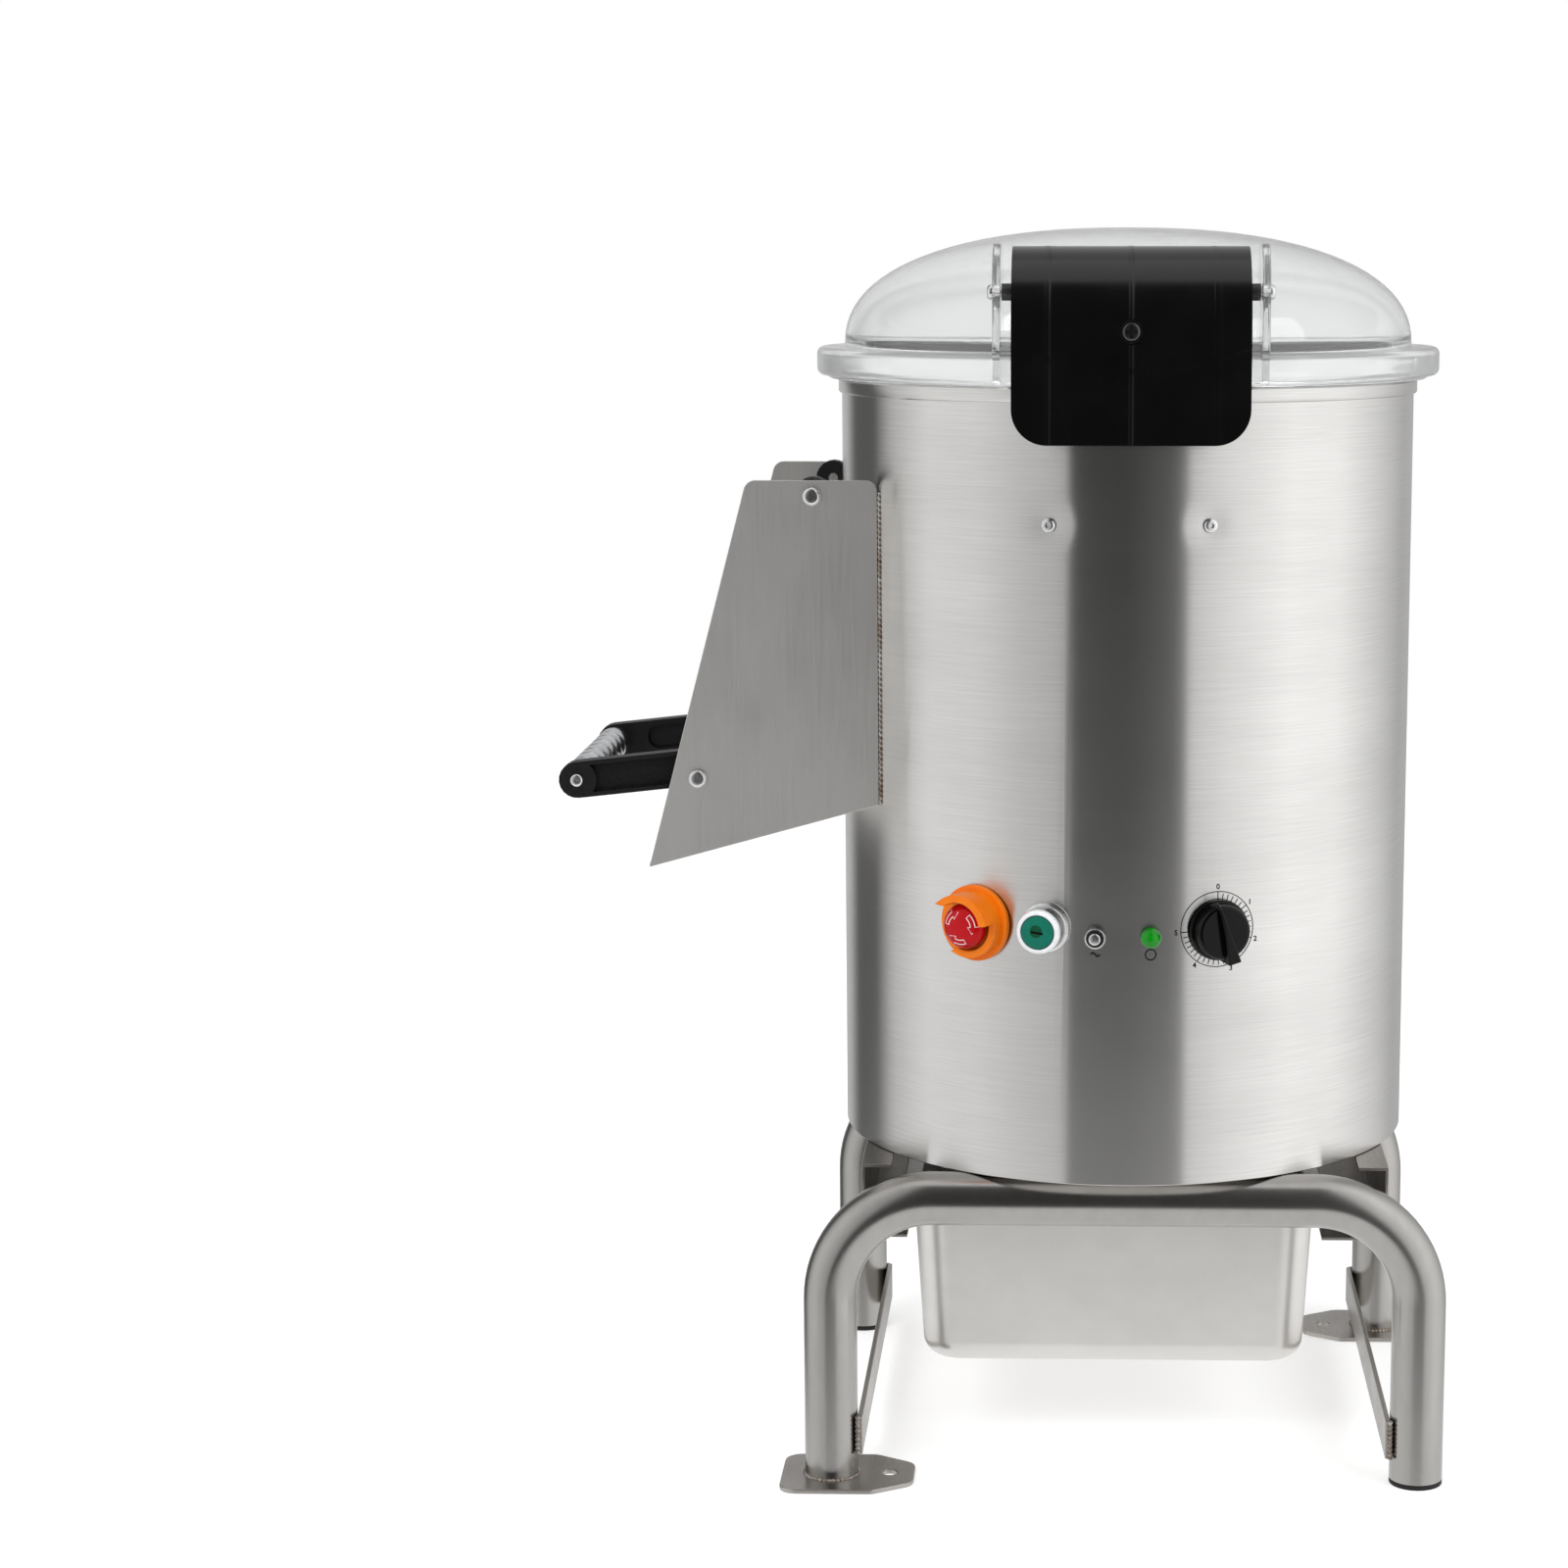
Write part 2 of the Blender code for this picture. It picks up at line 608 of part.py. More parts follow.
def make_finishes():
    """The surfaces, by name."""
    return {
        "brushed steel": finish("brushed_steel", (0.66, 0.66, 0.65), 0.32, 1.0),
        "satin steel": finish("satin_steel", (0.60, 0.59, 0.57), 0.28, 1.0),
        "bright steel": finish("bright_steel", (0.75, 0.75, 0.75), 0.15, 1.0),
        "clear plastic": finish("clear_plastic", (0.90, 0.92, 0.93), 0.05),
        "black plastic": finish("black_plastic", (0.015, 0.015, 0.016), 0.35),
        "black rubber": finish("black_rubber", (0.02, 0.02, 0.02), 0.7),
        "grit": finish("grit", (0.12, 0.11, 0.10), 0.9),
        "ribbed aluminium": finish("ribbed_aluminium", (0.80, 0.80, 0.81), 0.25, 1.0),
        "orange plastic": finish("orange_plastic", (0.90, 0.33, 0.02), 0.4),
        "red plastic": finish("red_plastic", (0.70, 0.01, 0.02), 0.35),
        "green plastic": finish("green_plastic", (0.0, 0.22, 0.16), 0.4),
        "green lens": finish("green_lens", (0.0, 0.45, 0.02), 0.15),
        "white plastic": finish("white_plastic", (0.80, 0.81, 0.82), 0.3),
        "painted motor": finish("painted_motor", (0.10, 0.12, 0.15), 0.5),
        "cast iron": finish("cast_iron", (0.20, 0.20, 0.20), 0.6, 0.6),
    }


def frame_tube_shape(y):
    """One bent tube: two legs and the bar that the drum stands on."""
    foot = FOOT_THICKNESS + GAP
    path = [(-LEG_X, foot)]
    path += arc((-BEND_X, BEND_Z), BEND_RADIUS, 180, 90, BEND_STEPS)
    path += arc((BEND_X, BEND_Z), BEND_RADIUS, 90, 0, BEND_STEPS)
    path.append((LEG_X, foot))
    turns = [90] + [90 - 90 * k / BEND_STEPS for k in range(BEND_STEPS + 1)]
    turns += [-90 * k / BEND_STEPS for k in range(BEND_STEPS + 1)] + [-90]

    def loop(point, heading, radius):
        side = Vector((-math.sin(math.radians(heading)), 0, math.cos(math.radians(heading))))
        middle = Vector((point[0], y, point[1]))
        angles = [2 * math.pi * k / TUBE_SIDES for k in range(TUBE_SIDES)]
        return [middle + side * (radius * math.cos(a)) + Vector((0, radius * math.sin(a), 0))
                for a in angles]

    outside = [loop(p, t, TUBE_RADIUS) for p, t in zip(path, turns)]
    inside = [loop(p, t, TUBE_RADIUS - TUBE_WALL) for p, t in zip(path, turns)]
    return skin(outside + inside[::-1], closed=True)


def add_stand(finishes, root):
    """Two bent tubes, two straps, two foot plates, two caps and the pan runners."""
    steel = finishes["satin steel"]
    piece("front_frame_tube", frame_tube_shape(-LEG_Y), steel, root)
    piece("rear_frame_tube", frame_tube_shape(LEG_Y), steel, root)
    for name, side in (("left", -1), ("right", 1)):
        near = side * (LEG_INNER - GAP)
        far = near - side * STRAP_THICKNESS
        end = LEG_Y + STRAP_END_LAP
        low = (min(near, far), -end, STRAP_RISE)
        high = (max(near, far), end, STRAP_RISE + STRAP_HEIGHT)
        piece("side_strap_" + name, block(low, high), steel, root)
        piece("pan_runner_" + name, runner_shape(side), steel, root)
    for name, side, y in (("front_left", -1, -LEG_Y), ("rear_right", 1, LEG_Y)):
        plate = piece("foot_plate_" + name, foot_plate_shape(side, y), steel, root)
        hole_at = (side * (LEG_X - FOOT_HOLE_REACH), y, -OVERRUN)
        hole = turned([(FOOT_HOLE_RADIUS, 0), (FOOT_HOLE_RADIUS, FOOT_THICKNESS + 2 * OVERRUN)])
        cutter = guide("foot_hole_" + name, moved(hole, Matrix.Translation(hole_at)), steel, root)
        combine(plate, cutter)
    plug = TUBE_RADIUS - TUBE_WALL - CAP_PLUG_CLEARANCE
    top = FOOT_THICKNESS + CAP_PLUG_DEPTH
    profile = [(TUBE_RADIUS, 0), (TUBE_RADIUS, FOOT_THICKNESS), (plug, FOOT_THICKNESS), (plug, top)]
    for name, x, y in (("front_right", LEG_X, -LEG_Y), ("rear_left", -LEG_X, LEG_Y)):
        shape = moved(turned(profile), Matrix.Translation((x, y, 0)))
        piece("foot_cap_" + name, shape, finishes["black rubber"], root)


def foot_plate_shape(side, y):
    """A flat foot, tapered towards its bolt hole on the inner side of the leg."""
    corners = [
        (-FOOT_OUTER_REACH, -FOOT_HALF_WIDTH, FOOT_CORNER),
        (FOOT_TAPER_START, -FOOT_HALF_WIDTH, FOOT_CORNER),
        (FOOT_INNER_REACH, -FOOT_TIP_HALF_WIDTH, FOOT_CORNER),
        (FOOT_INNER_REACH, FOOT_TIP_HALF_WIDTH, FOOT_CORNER),
        (FOOT_TAPER_START, FOOT_HALF_WIDTH, FOOT_CORNER),
        (-FOOT_OUTER_REACH, FOOT_HALF_WIDTH, FOOT_CORNER),
    ]
    outline = [(side * (LEG_X - inwards), y + across) for inwards, across in filleted(corners)]
    return prism(outline, 0, FOOT_THICKNESS)


def runner_shape(side):
    """A folded channel between the bars; its lower ledge carries the pan's rim."""
    out = side * RUNNER_OUTSET
    sheet = side * RUNNER_SHEET
    ledge = PAN_X + side * (PAN_BODY_HALF + RUNNER_BODY_CLEARANCE)
    top = BAR_TOP
    low = PAN_LEDGE_Z - RUNNER_SHEET
    inner_top = out - side * RUNNER_TOP_WIDTH
    outline = [
        (out, low), (out, top), (inner_top, top), (inner_top, top - RUNNER_SHEET),
        (out - sheet, top - RUNNER_SHEET), (out - sheet, low + RUNNER_SHEET),
        (ledge, low + RUNNER_SHEET), (ledge, low),
    ]
    end = LEG_Y - TUBE_RADIUS - GAP
    return prism(outline, -end, end, "XZ")


def wall_holes(finishes, root):
    """The cutters for every round hole through the drum's wall."""
    holes = [
        ("estop_hole", ESTOP_AZIMUTH, ESTOP_Z, SWITCH_NECK_RADIUS),
        ("start_hole", START_AZIMUTH, START_Z, SWITCH_NECK_RADIUS),
        ("reset_hole", RESET_AZIMUTH, RESET_Z, COLLAR_NECK_RADIUS),
        ("lamp_hole", LAMP_AZIMUTH, LAMP_Z, LAMP_NECK_RADIUS),
        ("timer_hole", TIMER_AZIMUTH, TIMER_Z, KNOB_SHAFT_RADIUS),
        ("gland_hole", 180, GLAND_Z, GLAND_NECK_RADIUS),
        ("inlet_hole", 180, INLET_Z, INLET_TAIL_RADIUS),
        ("liner_hole_left", -LINER_SCREW_AZIMUTH, LINER_SCREW_Z, SCREW_SHANK_RADIUS),
        ("liner_hole_right", LINER_SCREW_AZIMUTH, LINER_SCREW_Z, SCREW_SHANK_RADIUS),
    ]
    cutters = {}
    for name, azimuth, height, radius in holes:
        bore = radius + BORE_CLEARANCE
        depth = DRUM_WALL + LINER_THICKNESS + OVERRUN
        shape = turned([(bore, -depth), (bore, OVERRUN)], SMALL_SIDES)
        shape = moved(shape, panel_frame(azimuth, height))
        cutters[name] = guide(name, shape, finishes["brushed steel"], root)
    return cutters


def add_drum(finishes, root, cutters):
    """Shell with its rolled rim, base, chamber floor, liner and drain."""
    steel = finishes["brushed steel"]
    profile = [
        (DRUM_RADIUS, DRUM_BOTTOM), (DRUM_RADIUS, DRUM_TOP - RIM_DEPTH),
        (RIM_RADIUS, DRUM_TOP - RIM_DEPTH), (RIM_RADIUS, DRUM_TOP),
        (DRUM_BORE, DRUM_TOP), (DRUM_BORE, DRUM_BOTTOM),
    ]
    shell = piece("drum_shell", turned(profile, DRUM_SIDES, closed=True), steel, root)
    inner = INNER_FIT - LINER_THICKNESS
    profile = [(INNER_FIT, LINER_BOTTOM), (INNER_FIT, LINER_TOP), (inner, LINER_TOP),
               (inner, LINER_BOTTOM)]
    liner = piece("abrasive_liner", turned(profile, DRUM_SIDES, closed=True),
                  finishes["grit"], root)
    low = (-DRUM_RADIUS - OVERRUN, -OPENING_HALF_WIDTH, OPENING_LOW)
    high = (-DRUM_RADIUS / 2, OPENING_HALF_WIDTH, OPENING_HIGH)
    opening = guide("door_opening", block(low, high), steel, root)
    combine(shell, opening)
    combine(liner, opening)
    for cutter in cutters.values():
        combine(shell, cutter)
    for name in ("inlet_hole", "liner_hole_left", "liner_hole_right"):
        combine(liner, cutters[name])

    disc = [(INNER_FIT, DRUM_BOTTOM), (INNER_FIT, DRUM_BOTTOM + BASE_THICKNESS)]
    base = piece("base_plate", turned(disc, DRUM_SIDES), finishes["satin steel"], root)
    neck_hole = HOUSING_NECK_RADIUS + BORE_CLEARANCE
    ring = [(INNER_FIT, FLOOR_UNDERSIDE), (INNER_FIT, FLOOR_LEVEL),
            (neck_hole, FLOOR_LEVEL), (neck_hole, FLOOR_UNDERSIDE)]
    floor = piece("chamber_floor", turned(ring, DRUM_SIDES, closed=True),
                  finishes["satin steel"], root)
    drain_bottom = DRUM_BOTTOM - DRAIN_DROP
    drain_top = FLOOR_LEVEL - GAP
    at = Matrix.Translation((DRAIN_X, DRAIN_Y, 0))
    bore = DRAIN_RADIUS - DRAIN_WALL
    ring = [(DRAIN_RADIUS, drain_bottom), (DRAIN_RADIUS, drain_top), (bore, drain_top),
            (bore, drain_bottom)]
    piece("drain_spout", moved(turned(ring, closed=True), at), finishes["satin steel"], root)
    hole = DRAIN_RADIUS + BORE_CLEARANCE
    cutter = turned([(hole, drain_bottom), (hole, FLOOR_LEVEL + OVERRUN)])
    drain_hole = guide("drain_hole", moved(cutter, at), steel, root)
    combine(base, drain_hole)
    combine(floor, drain_hole)

    for name, azimuth in (("left", -LINER_SCREW_AZIMUTH), ("right", LINER_SCREW_AZIMUTH)):
        shape = screw_shape(SCREW_HEAD_RADIUS, SCREW_HEAD_HEIGHT, SCREW_SHANK_RADIUS,
                            SCREW_SHANK_LENGTH)
        frame = panel_frame(azimuth, LINER_SCREW_Z)
        piece("liner_screw_" + name, moved(shape, frame), finishes["bright steel"], root)


def pulley_profile(pitch, bore):
    """A flat-belt pulley with two flanges, from its lower bore edge round."""
    floor = pitch - GAP
    rim = pitch + PULLEY_FLANGE
    groove = BELT_WIDTH / 2 + 2 * GAP
    middle = PULLEY_BOTTOM + PULLEY_WIDTH / 2
    top = PULLEY_TOP
    outer = [(rim, PULLEY_BOTTOM), (rim, middle - groove), (floor, middle - groove),
             (floor, middle + groove), (rim, middle + groove), (rim, top)]
    return [(bore, PULLEY_BOTTOM)] + outer + [(bore, top)]


def add_drive(finishes, root, spindle, rotor):
    """Motor, belt, pulleys, bearing housing, shaft and the abrasive disc."""
    iron = finishes["cast iron"]
    steel = finishes["bright steel"]
    housing_top = FLOOR_UNDERSIDE - GAP
    bore = SHAFT_RADIUS + RUNNING_CLEARANCE
    profile = [
        (bore, HOUSING_BOTTOM), (HOUSING_RADIUS, HOUSING_BOTTOM),
        (HOUSING_RADIUS, housing_top - HOUSING_FLANGE_THICKNESS),
        (HOUSING_FLANGE_RADIUS, housing_top - HOUSING_FLANGE_THICKNESS),
        (HOUSING_FLANGE_RADIUS, housing_top), (HOUSING_NECK_RADIUS, housing_top),
        (HOUSING_NECK_RADIUS, FLOOR_LEVEL + HOUSING_NECK_RISE),
        (bore, FLOOR_LEVEL + HOUSING_NECK_RISE),
    ]
    piece("bearing_housing", turned(profile, SMALL_SIDES, closed=True), iron, root)

    shaft = [(SHAFT_RADIUS, PULLEY_BOTTOM), (SHAFT_RADIUS, DISC_BOTTOM - GAP)]
    piece("spindle_shaft", turned(shaft, SMALL_SIDES), steel, spindle)
    bore = SHAFT_RADIUS + PULLEY_BORE_CLEARANCE
    profile = pulley_profile(SPINDLE_PULLEY_PITCH, bore)
    piece("spindle_pulley", turned(profile, PULLEY_SIDES, closed=True), iron, spindle)
    piece("abrasive_disc", disc_shape(), finishes["grit"], spindle)

    at = Matrix.Translation((0, MOTOR_Y, 0))
    bottom = MOTOR_BOTTOM
    flange = FLOOR_UNDERSIDE - GAP - MOTOR_FLANGE_THICKNESS
    bore = MOTOR_SHAFT_RADIUS + RUNNING_CLEARANCE
    socket = bottom + MOTOR_SHAFT_DEPTH + GAP
    profile = [
        (bore, socket), (bore, bottom), (MOTOR_RADIUS, bottom), (MOTOR_RADIUS, flange),
        (MOTOR_FLANGE_RADIUS, flange), (MOTOR_FLANGE_RADIUS, FLOOR_UNDERSIDE - GAP),
    ]
    piece("motor_body", moved(turned(profile), at), finishes["painted motor"], root)
    profile = pulley_profile(MOTOR_PULLEY_PITCH, SHAFT_RADIUS)[1:-1]
    profile.append((MOTOR_SHAFT_RADIUS, PULLEY_TOP))
    profile.append((MOTOR_SHAFT_RADIUS, bottom + MOTOR_SHAFT_DEPTH))
    piece("motor_pulley", moved(turned(profile, SMALL_SIDES), at), iron, rotor)
    piece("drive_belt", belt_shape(), finishes["black rubber"], root)


def disc_shape():
    """The turning disc: flat below, with radial waves on top that throw the load."""
    edge = INNER_FIT - LINER_THICKNESS - DISC_EDGE_CLEARANCE
    angles = [2 * math.pi * k / DISC_SIDES for k in range(DISC_SIDES)]

    def loop(radius, z, wave=0.0):
        return [(radius * math.cos(a), radius * math.sin(a),
                 z + wave * max(0.0, math.cos(DISC_WAVES * a)) ** 2) for a in angles]

    rings = [loop(edge, DISC_BOTTOM), loop(edge, DISC_TOP - DISC_WAVE_HEIGHT)]
    for share in DISC_RING_SHARES:
        rings.append(loop(edge * share, DISC_TOP - DISC_WAVE_HEIGHT, DISC_WAVE_HEIGHT * share))
    return skin(rings)


def belt_shape():
    """A flat belt round both pulleys, along their outer tangents."""
    lean = math.degrees(math.asin((SPINDLE_PULLEY_PITCH - MOTOR_PULLEY_PITCH) / MOTOR_Y))

    def loop(extra):
        # The belt wraps the spindle pulley's far side and the motor pulley's far side
        far = arc((0, MOTOR_Y), MOTOR_PULLEY_PITCH + extra, lean, 180 - lean, BELT_ARC_STEPS)
        near = arc((0, 0), SPINDLE_PULLEY_PITCH + extra, 180 - lean, 360 + lean,
                   BELT_ARC_STEPS * 2)
        return far + near

    middle = PULLEY_BOTTOM + PULLEY_WIDTH / 2
    inner, outer = loop(GAP), loop(BELT_THICKNESS)
    low, high = middle - BELT_WIDTH / 2, middle + BELT_WIDTH / 2
    rings = [[(x, y, z) for x, y in run]
             for run, z in ((outer, low), (outer, high), (inner, high), (inner, low))]
    return skin(rings, closed=True)


def add_pan(finishes, slide):
    """The waste pan: tapered walls, rounded foot and a flat rim."""
    half_x, half_y = PAN_WIDTH / 2, PAN_LENGTH / 2
    centre = (PAN_X, PAN_Y)

    def loop(inset, z, corner):
        return rounded_box_ring(half_x - inset, half_y - inset, corner, z, centre,
                                PAN_CORNER_STEPS)

    def wall(shrink, floor):
        """Loops from the floor's edge up to the rim, for the outer or the inner skin."""
        rings = []
        foot_inset = PAN_RIM_WIDTH + PAN_TAPER + shrink
        for k in range(PAN_ROUND_STEPS + 1):
            a = math.pi / 2 * k / PAN_ROUND_STEPS
            inset = foot_inset + (PAN_FOOT_ROUND - shrink) * (1 - math.sin(a))
            z = floor + (PAN_FOOT_ROUND - shrink) * (1 - math.cos(a))
            corner = max(PAN_CORNER - (inset - PAN_RIM_WIDTH) / 2, PAN_CORNER / 2)
            rings.append(loop(inset, z, corner))
        return rings

    rings = wall(0, PAN_BOTTOM)
    rings.append(loop(PAN_RIM_WIDTH, PAN_RIM_BOTTOM, PAN_CORNER))
    rim_corner = PAN_CORNER + PAN_RIM_WIDTH
    rings.append(loop(0, PAN_RIM_BOTTOM, rim_corner))
    rings.append(loop(0, PAN_RIM_TOP, rim_corner))
    rings.append(loop(PAN_RIM_WIDTH + PAN_WALL, PAN_RIM_TOP, PAN_CORNER - PAN_WALL))
    rings += wall(PAN_WALL, PAN_BOTTOM + PAN_WALL)[::-1]
    piece("waste_pan", skin(rings), finishes["satin steel"], slide)


def add_chute(finishes, root):
    """Two side plates and the sloped floor between them, welded to the drum."""
    steel = finishes["brushed steel"]
    top_x = -(DRUM_RADIUS + CHUTE_TOP_REACH)
    foot_x = -(DRUM_RADIUS + CHUTE_FOOT_REACH)
    corners = [
        (top_x, CHUTE_TOP_Z, CHUTE_CORNER), (CHUTE_JOINT_X, CHUTE_TOP_Z, CHUTE_CORNER),
        (CHUTE_JOINT_X, CHUTE_LOW_Z, 0), (foot_x, CHUTE_LOW_Z - CHUTE_FALL, 0),
    ]
    outline = filleted(corners)
    bore = HINGE_SCREW_RADIUS + BORE_CLEARANCE
    reach = CHUTE_OUTER_FACE + OVERRUN
    for name, x, z in (("hinge_bore", DOOR_AXIS_X, DOOR_AXIS_Z), ("catch_bore", CATCH_X, CATCH_Z)):
        shape = moved(turned([(bore, -reach), (bore, reach)], SMALL_SIDES),
                      aimed((0, 1, 0), (x, 0, z)))
        guide(name, shape, steel, root)
    for name, side in (("front", -1), ("rear", 1)):
        faces = sorted((side * CHUTE_INNER_FACE, side * CHUTE_OUTER_FACE))
        plate = piece("chute_plate_" + name, prism(outline, *faces, "XZ"), steel, root)
        combine(plate, bpy.data.objects["hinge_bore"])
        combine(plate, bpy.data.objects["catch_bore"])
        for role, x, z, end in (("hinge", DOOR_AXIS_X, DOOR_AXIS_Z, ARM_INNER_FACE),
                                ("catch", CATCH_X, CATCH_Z, ARM_OUTER_FACE + CATCH_NUB_CLEARANCE)):
            shape = screw_shape(HINGE_HEAD_RADIUS, HINGE_HEAD_HEIGHT, HINGE_SCREW_RADIUS,
                                CHUTE_OUTER_FACE - end)
            at = aimed((0, side, 0), (x, side * CHUTE_OUTER_FACE, z))
            piece(role + "_screw_" + name, moved(shape, at), finishes["bright steel"], root)

    slope = CHUTE_FALL / (foot_x - CHUTE_JOINT_X)
    rise = CHUTE_SHEET * math.hypot(1, slope)
    outline = [(foot_x, CHUTE_LOW_Z - CHUTE_FALL), (foot_x, CHUTE_LOW_Z - CHUTE_FALL + rise),
               (CHUTE_JOINT_X, CHUTE_LOW_Z + rise), (CHUTE_JOINT_X, CHUTE_LOW_Z)]
    edge = CHUTE_INNER_FACE - GAP
    floor = piece("chute_floor", prism(outline, -edge, edge, "XZ"), steel, root)
    radius = DRUM_RADIUS + GAP
    profile = [(radius, FLOOR_UNDERSIDE - CHUTE_FALL), (radius, DRUM_TOP)]
    combine(floor, guide("drum_clearance", turned(profile, DRUM_SIDES), steel, root))


def curved_sheet(inner, outer, half_width, low, high):
    """A piece of a ring on the drum's -X side."""
    half = math.degrees(math.asin(half_width / outer))
    back = arc((0, 0), inner, 180 - half, 180 + half, DOOR_STEPS)
    front = arc((0, 0), outer, 180 - half, 180 + half, DOOR_STEPS)
    return prism(back + front[::-1], low, high)


def arm_outline():
    """The arm from its hinge boss down the door's side and out to the grip."""
    axis_x, axis_z = DOOR_AXIS_X, DOOR_AXIS_Z
    heel_x = -(math.sqrt(DOOR_OUTER_RADIUS ** 2 - ARM_INNER_FACE ** 2) + GAP)
    limb_x = axis_x - ARM_BOSS_RADIUS
    lean = math.atan2(ARM_ELBOW_RISE, axis_x - GRIP_X)
    normal = Vector((-math.sin(lean), math.cos(lean)))
    along = Vector((math.cos(lean), math.sin(lean)))
    grip = Vector((GRIP_X, GRIP_Z))

    def on_edge(side, x):
        start = grip + normal * (side * ARM_HALF_HEIGHT)
        return start.y + (x - start.x) * along.y / along.x

    turn = math.degrees(lean)
    outline = arc((GRIP_X, GRIP_Z), ARM_HALF_HEIGHT, 270 + turn, 90 + turn, ARM_ROUND_STEPS)
    elbow = filleted([(GRIP_X, on_edge(1, GRIP_X), 0), (limb_x, on_edge(1, limb_x), ARM_ELBOW_ROUND),
                      (limb_x, axis_z, 0)])
    outline += elbow[1:-1]
    outline += arc((axis_x, axis_z), ARM_BOSS_RADIUS, 180, 0, ARM_ROUND_STEPS)
    shoulder_z = axis_z - ARM_SHOULDER_DROP
    heel = filleted([(heel_x, shoulder_z, 0), (heel_x, on_edge(-1, heel_x), ARM_HEEL_ROUND),
                     (GRIP_X, on_edge(-1, GRIP_X), 0)])
    return outline + heel[:-1]


def add_door(finishes, root, swing):
    """Curved door panel and seal, carried by two arms that also hold the grip."""
    panel = curved_sheet(DOOR_INNER_RADIUS, DOOR_OUTER_RADIUS, DOOR_HALF_WIDTH, DOOR_LOW, DOOR_HIGH)
    piece("door_panel", panel, finishes["brushed steel"], swing)
    seal_inner = DRUM_RADIUS + GAP
    seal = curved_sheet(seal_inner, seal_inner + SEAL_THICKNESS, DOOR_HALF_WIDTH - GAP,
                        DOOR_LOW + GAP, DOOR_HIGH - GAP)
    seal = piece("door_seal", seal, finishes["black rubber"], swing)
    combine(seal, bpy.data.objects["door_opening"])

    black = finishes["black plastic"]
    lean = math.atan2(ARM_ELBOW_RISE, DOOR_AXIS_X - GRIP_X)
    start = 2 * ARM_HALF_HEIGHT
    end = DOOR_AXIS_X - GRIP_X - 2 * ARM_HALF_HEIGHT
    height = ARM_HALF_HEIGHT - ARM_RECESS_EDGE
    corners = [(start, -height, height), (end, -height, height), (end, height, height),
               (start, height, height)]
    recess_outline = []
    for along, up in filleted([(a, u, r * ARM_RECESS_ROUND_SHARE) for a, u, r in corners]):
        recess_outline.append((GRIP_X + along * math.cos(lean) - up * math.sin(lean),
                               GRIP_Z + along * math.sin(lean) + up * math.cos(lean)))
    hole = GRIP_SCREW_RADIUS + BORE_CLEARANCE
    reach = ARM_OUTER_FACE + OVERRUN
    shape = moved(turned([(hole, -reach), (hole, reach)], SMALL_SIDES),
                  aimed((0, 1, 0), (GRIP_X, 0, GRIP_Z)))
    grip_bore = guide("grip_bore", shape, black, swing)
    for name, side in (("front", -1), ("rear", 1)):
        faces = sorted((side * ARM_INNER_FACE, side * ARM_OUTER_FACE))
        arm = piece("door_arm_" + name, prism(arm_outline(), *faces, "XZ"), black, swing)
        combine(arm, bpy.data.objects["hinge_bore"])
        combine(arm, grip_bore)
        for label, low, high in (
                ("low", faces[0] - OVERRUN, faces[0] + ARM_RECESS_DEPTH),
                ("high", faces[1] - ARM_RECESS_DEPTH, faces[1] + OVERRUN)):
            recess = guide("arm_recess_{}_{}".format(name, label),
                           prism(recess_outline, low, high, "XZ"), black, swing)
            combine(arm, recess)
        screw = screw_shape(GRIP_HEAD_RADIUS, GRIP_HEAD_HEIGHT, GRIP_SCREW_RADIUS,
                            ARM_THICKNESS - GAP)
        at = aimed((0, side, 0), (GRIP_X, side * ARM_OUTER_FACE, GRIP_Z))
        piece("grip_screw_" + name, moved(screw, at), finishes["bright steel"], swing)

    half = ARM_INNER_FACE - GAP
    pitch = 2 * half / GRIP_RIBS
    profile = [(GRIP_RADIUS - GRIP_GROOVE, -half)]
    for k in range(GRIP_RIBS):
        profile.append((GRIP_RADIUS, -half + pitch * (k + 0.5)))
        profile.append((GRIP_RADIUS - GRIP_GROOVE, -half + pitch * (k + 1)))
    grip = moved(turned(profile, SCREW_SIDES), aimed((0, 1, 0), (GRIP_X, 0, GRIP_Z)))
    piece("grip_tube", grip, finishes["ribbed aluminium"], swing)


def dome_curve(radius, height, base):
    """The dome's outline from its foot to near its top, as (radius, height) points."""
    points = []
    for k in range(DOME_STEPS + 1):
        a = math.radians(DOME_TOP_ANGLE * k / DOME_STEPS)
        points.append((radius * math.cos(a) ** (2 / DOME_ROUNDNESS),
                       base + height * math.sin(a) ** (2 / DOME_ROUNDNESS)))
    return points


def flange_profile(grow=0.0):
    """The lid's edge from its lip's underside out and up to the dome's foot."""
    outer = FLANGE_RADIUS + grow
    inset = FLANGE_ROUND
    return [
        (LIP_RADIUS + grow, LID_BOTTOM - grow), (LIP_RADIUS + grow, FLANGE_BOTTOM - grow),
        (outer - inset / 2, FLANGE_BOTTOM - grow), (outer, FLANGE_BOTTOM + inset / 2),
        (outer, FLANGE_TOP - inset), (outer - inset, FLANGE_TOP + grow),
        (DOME_RADIUS + DOME_SHOULDER + grow, FLANGE_TOP + grow),
    ]


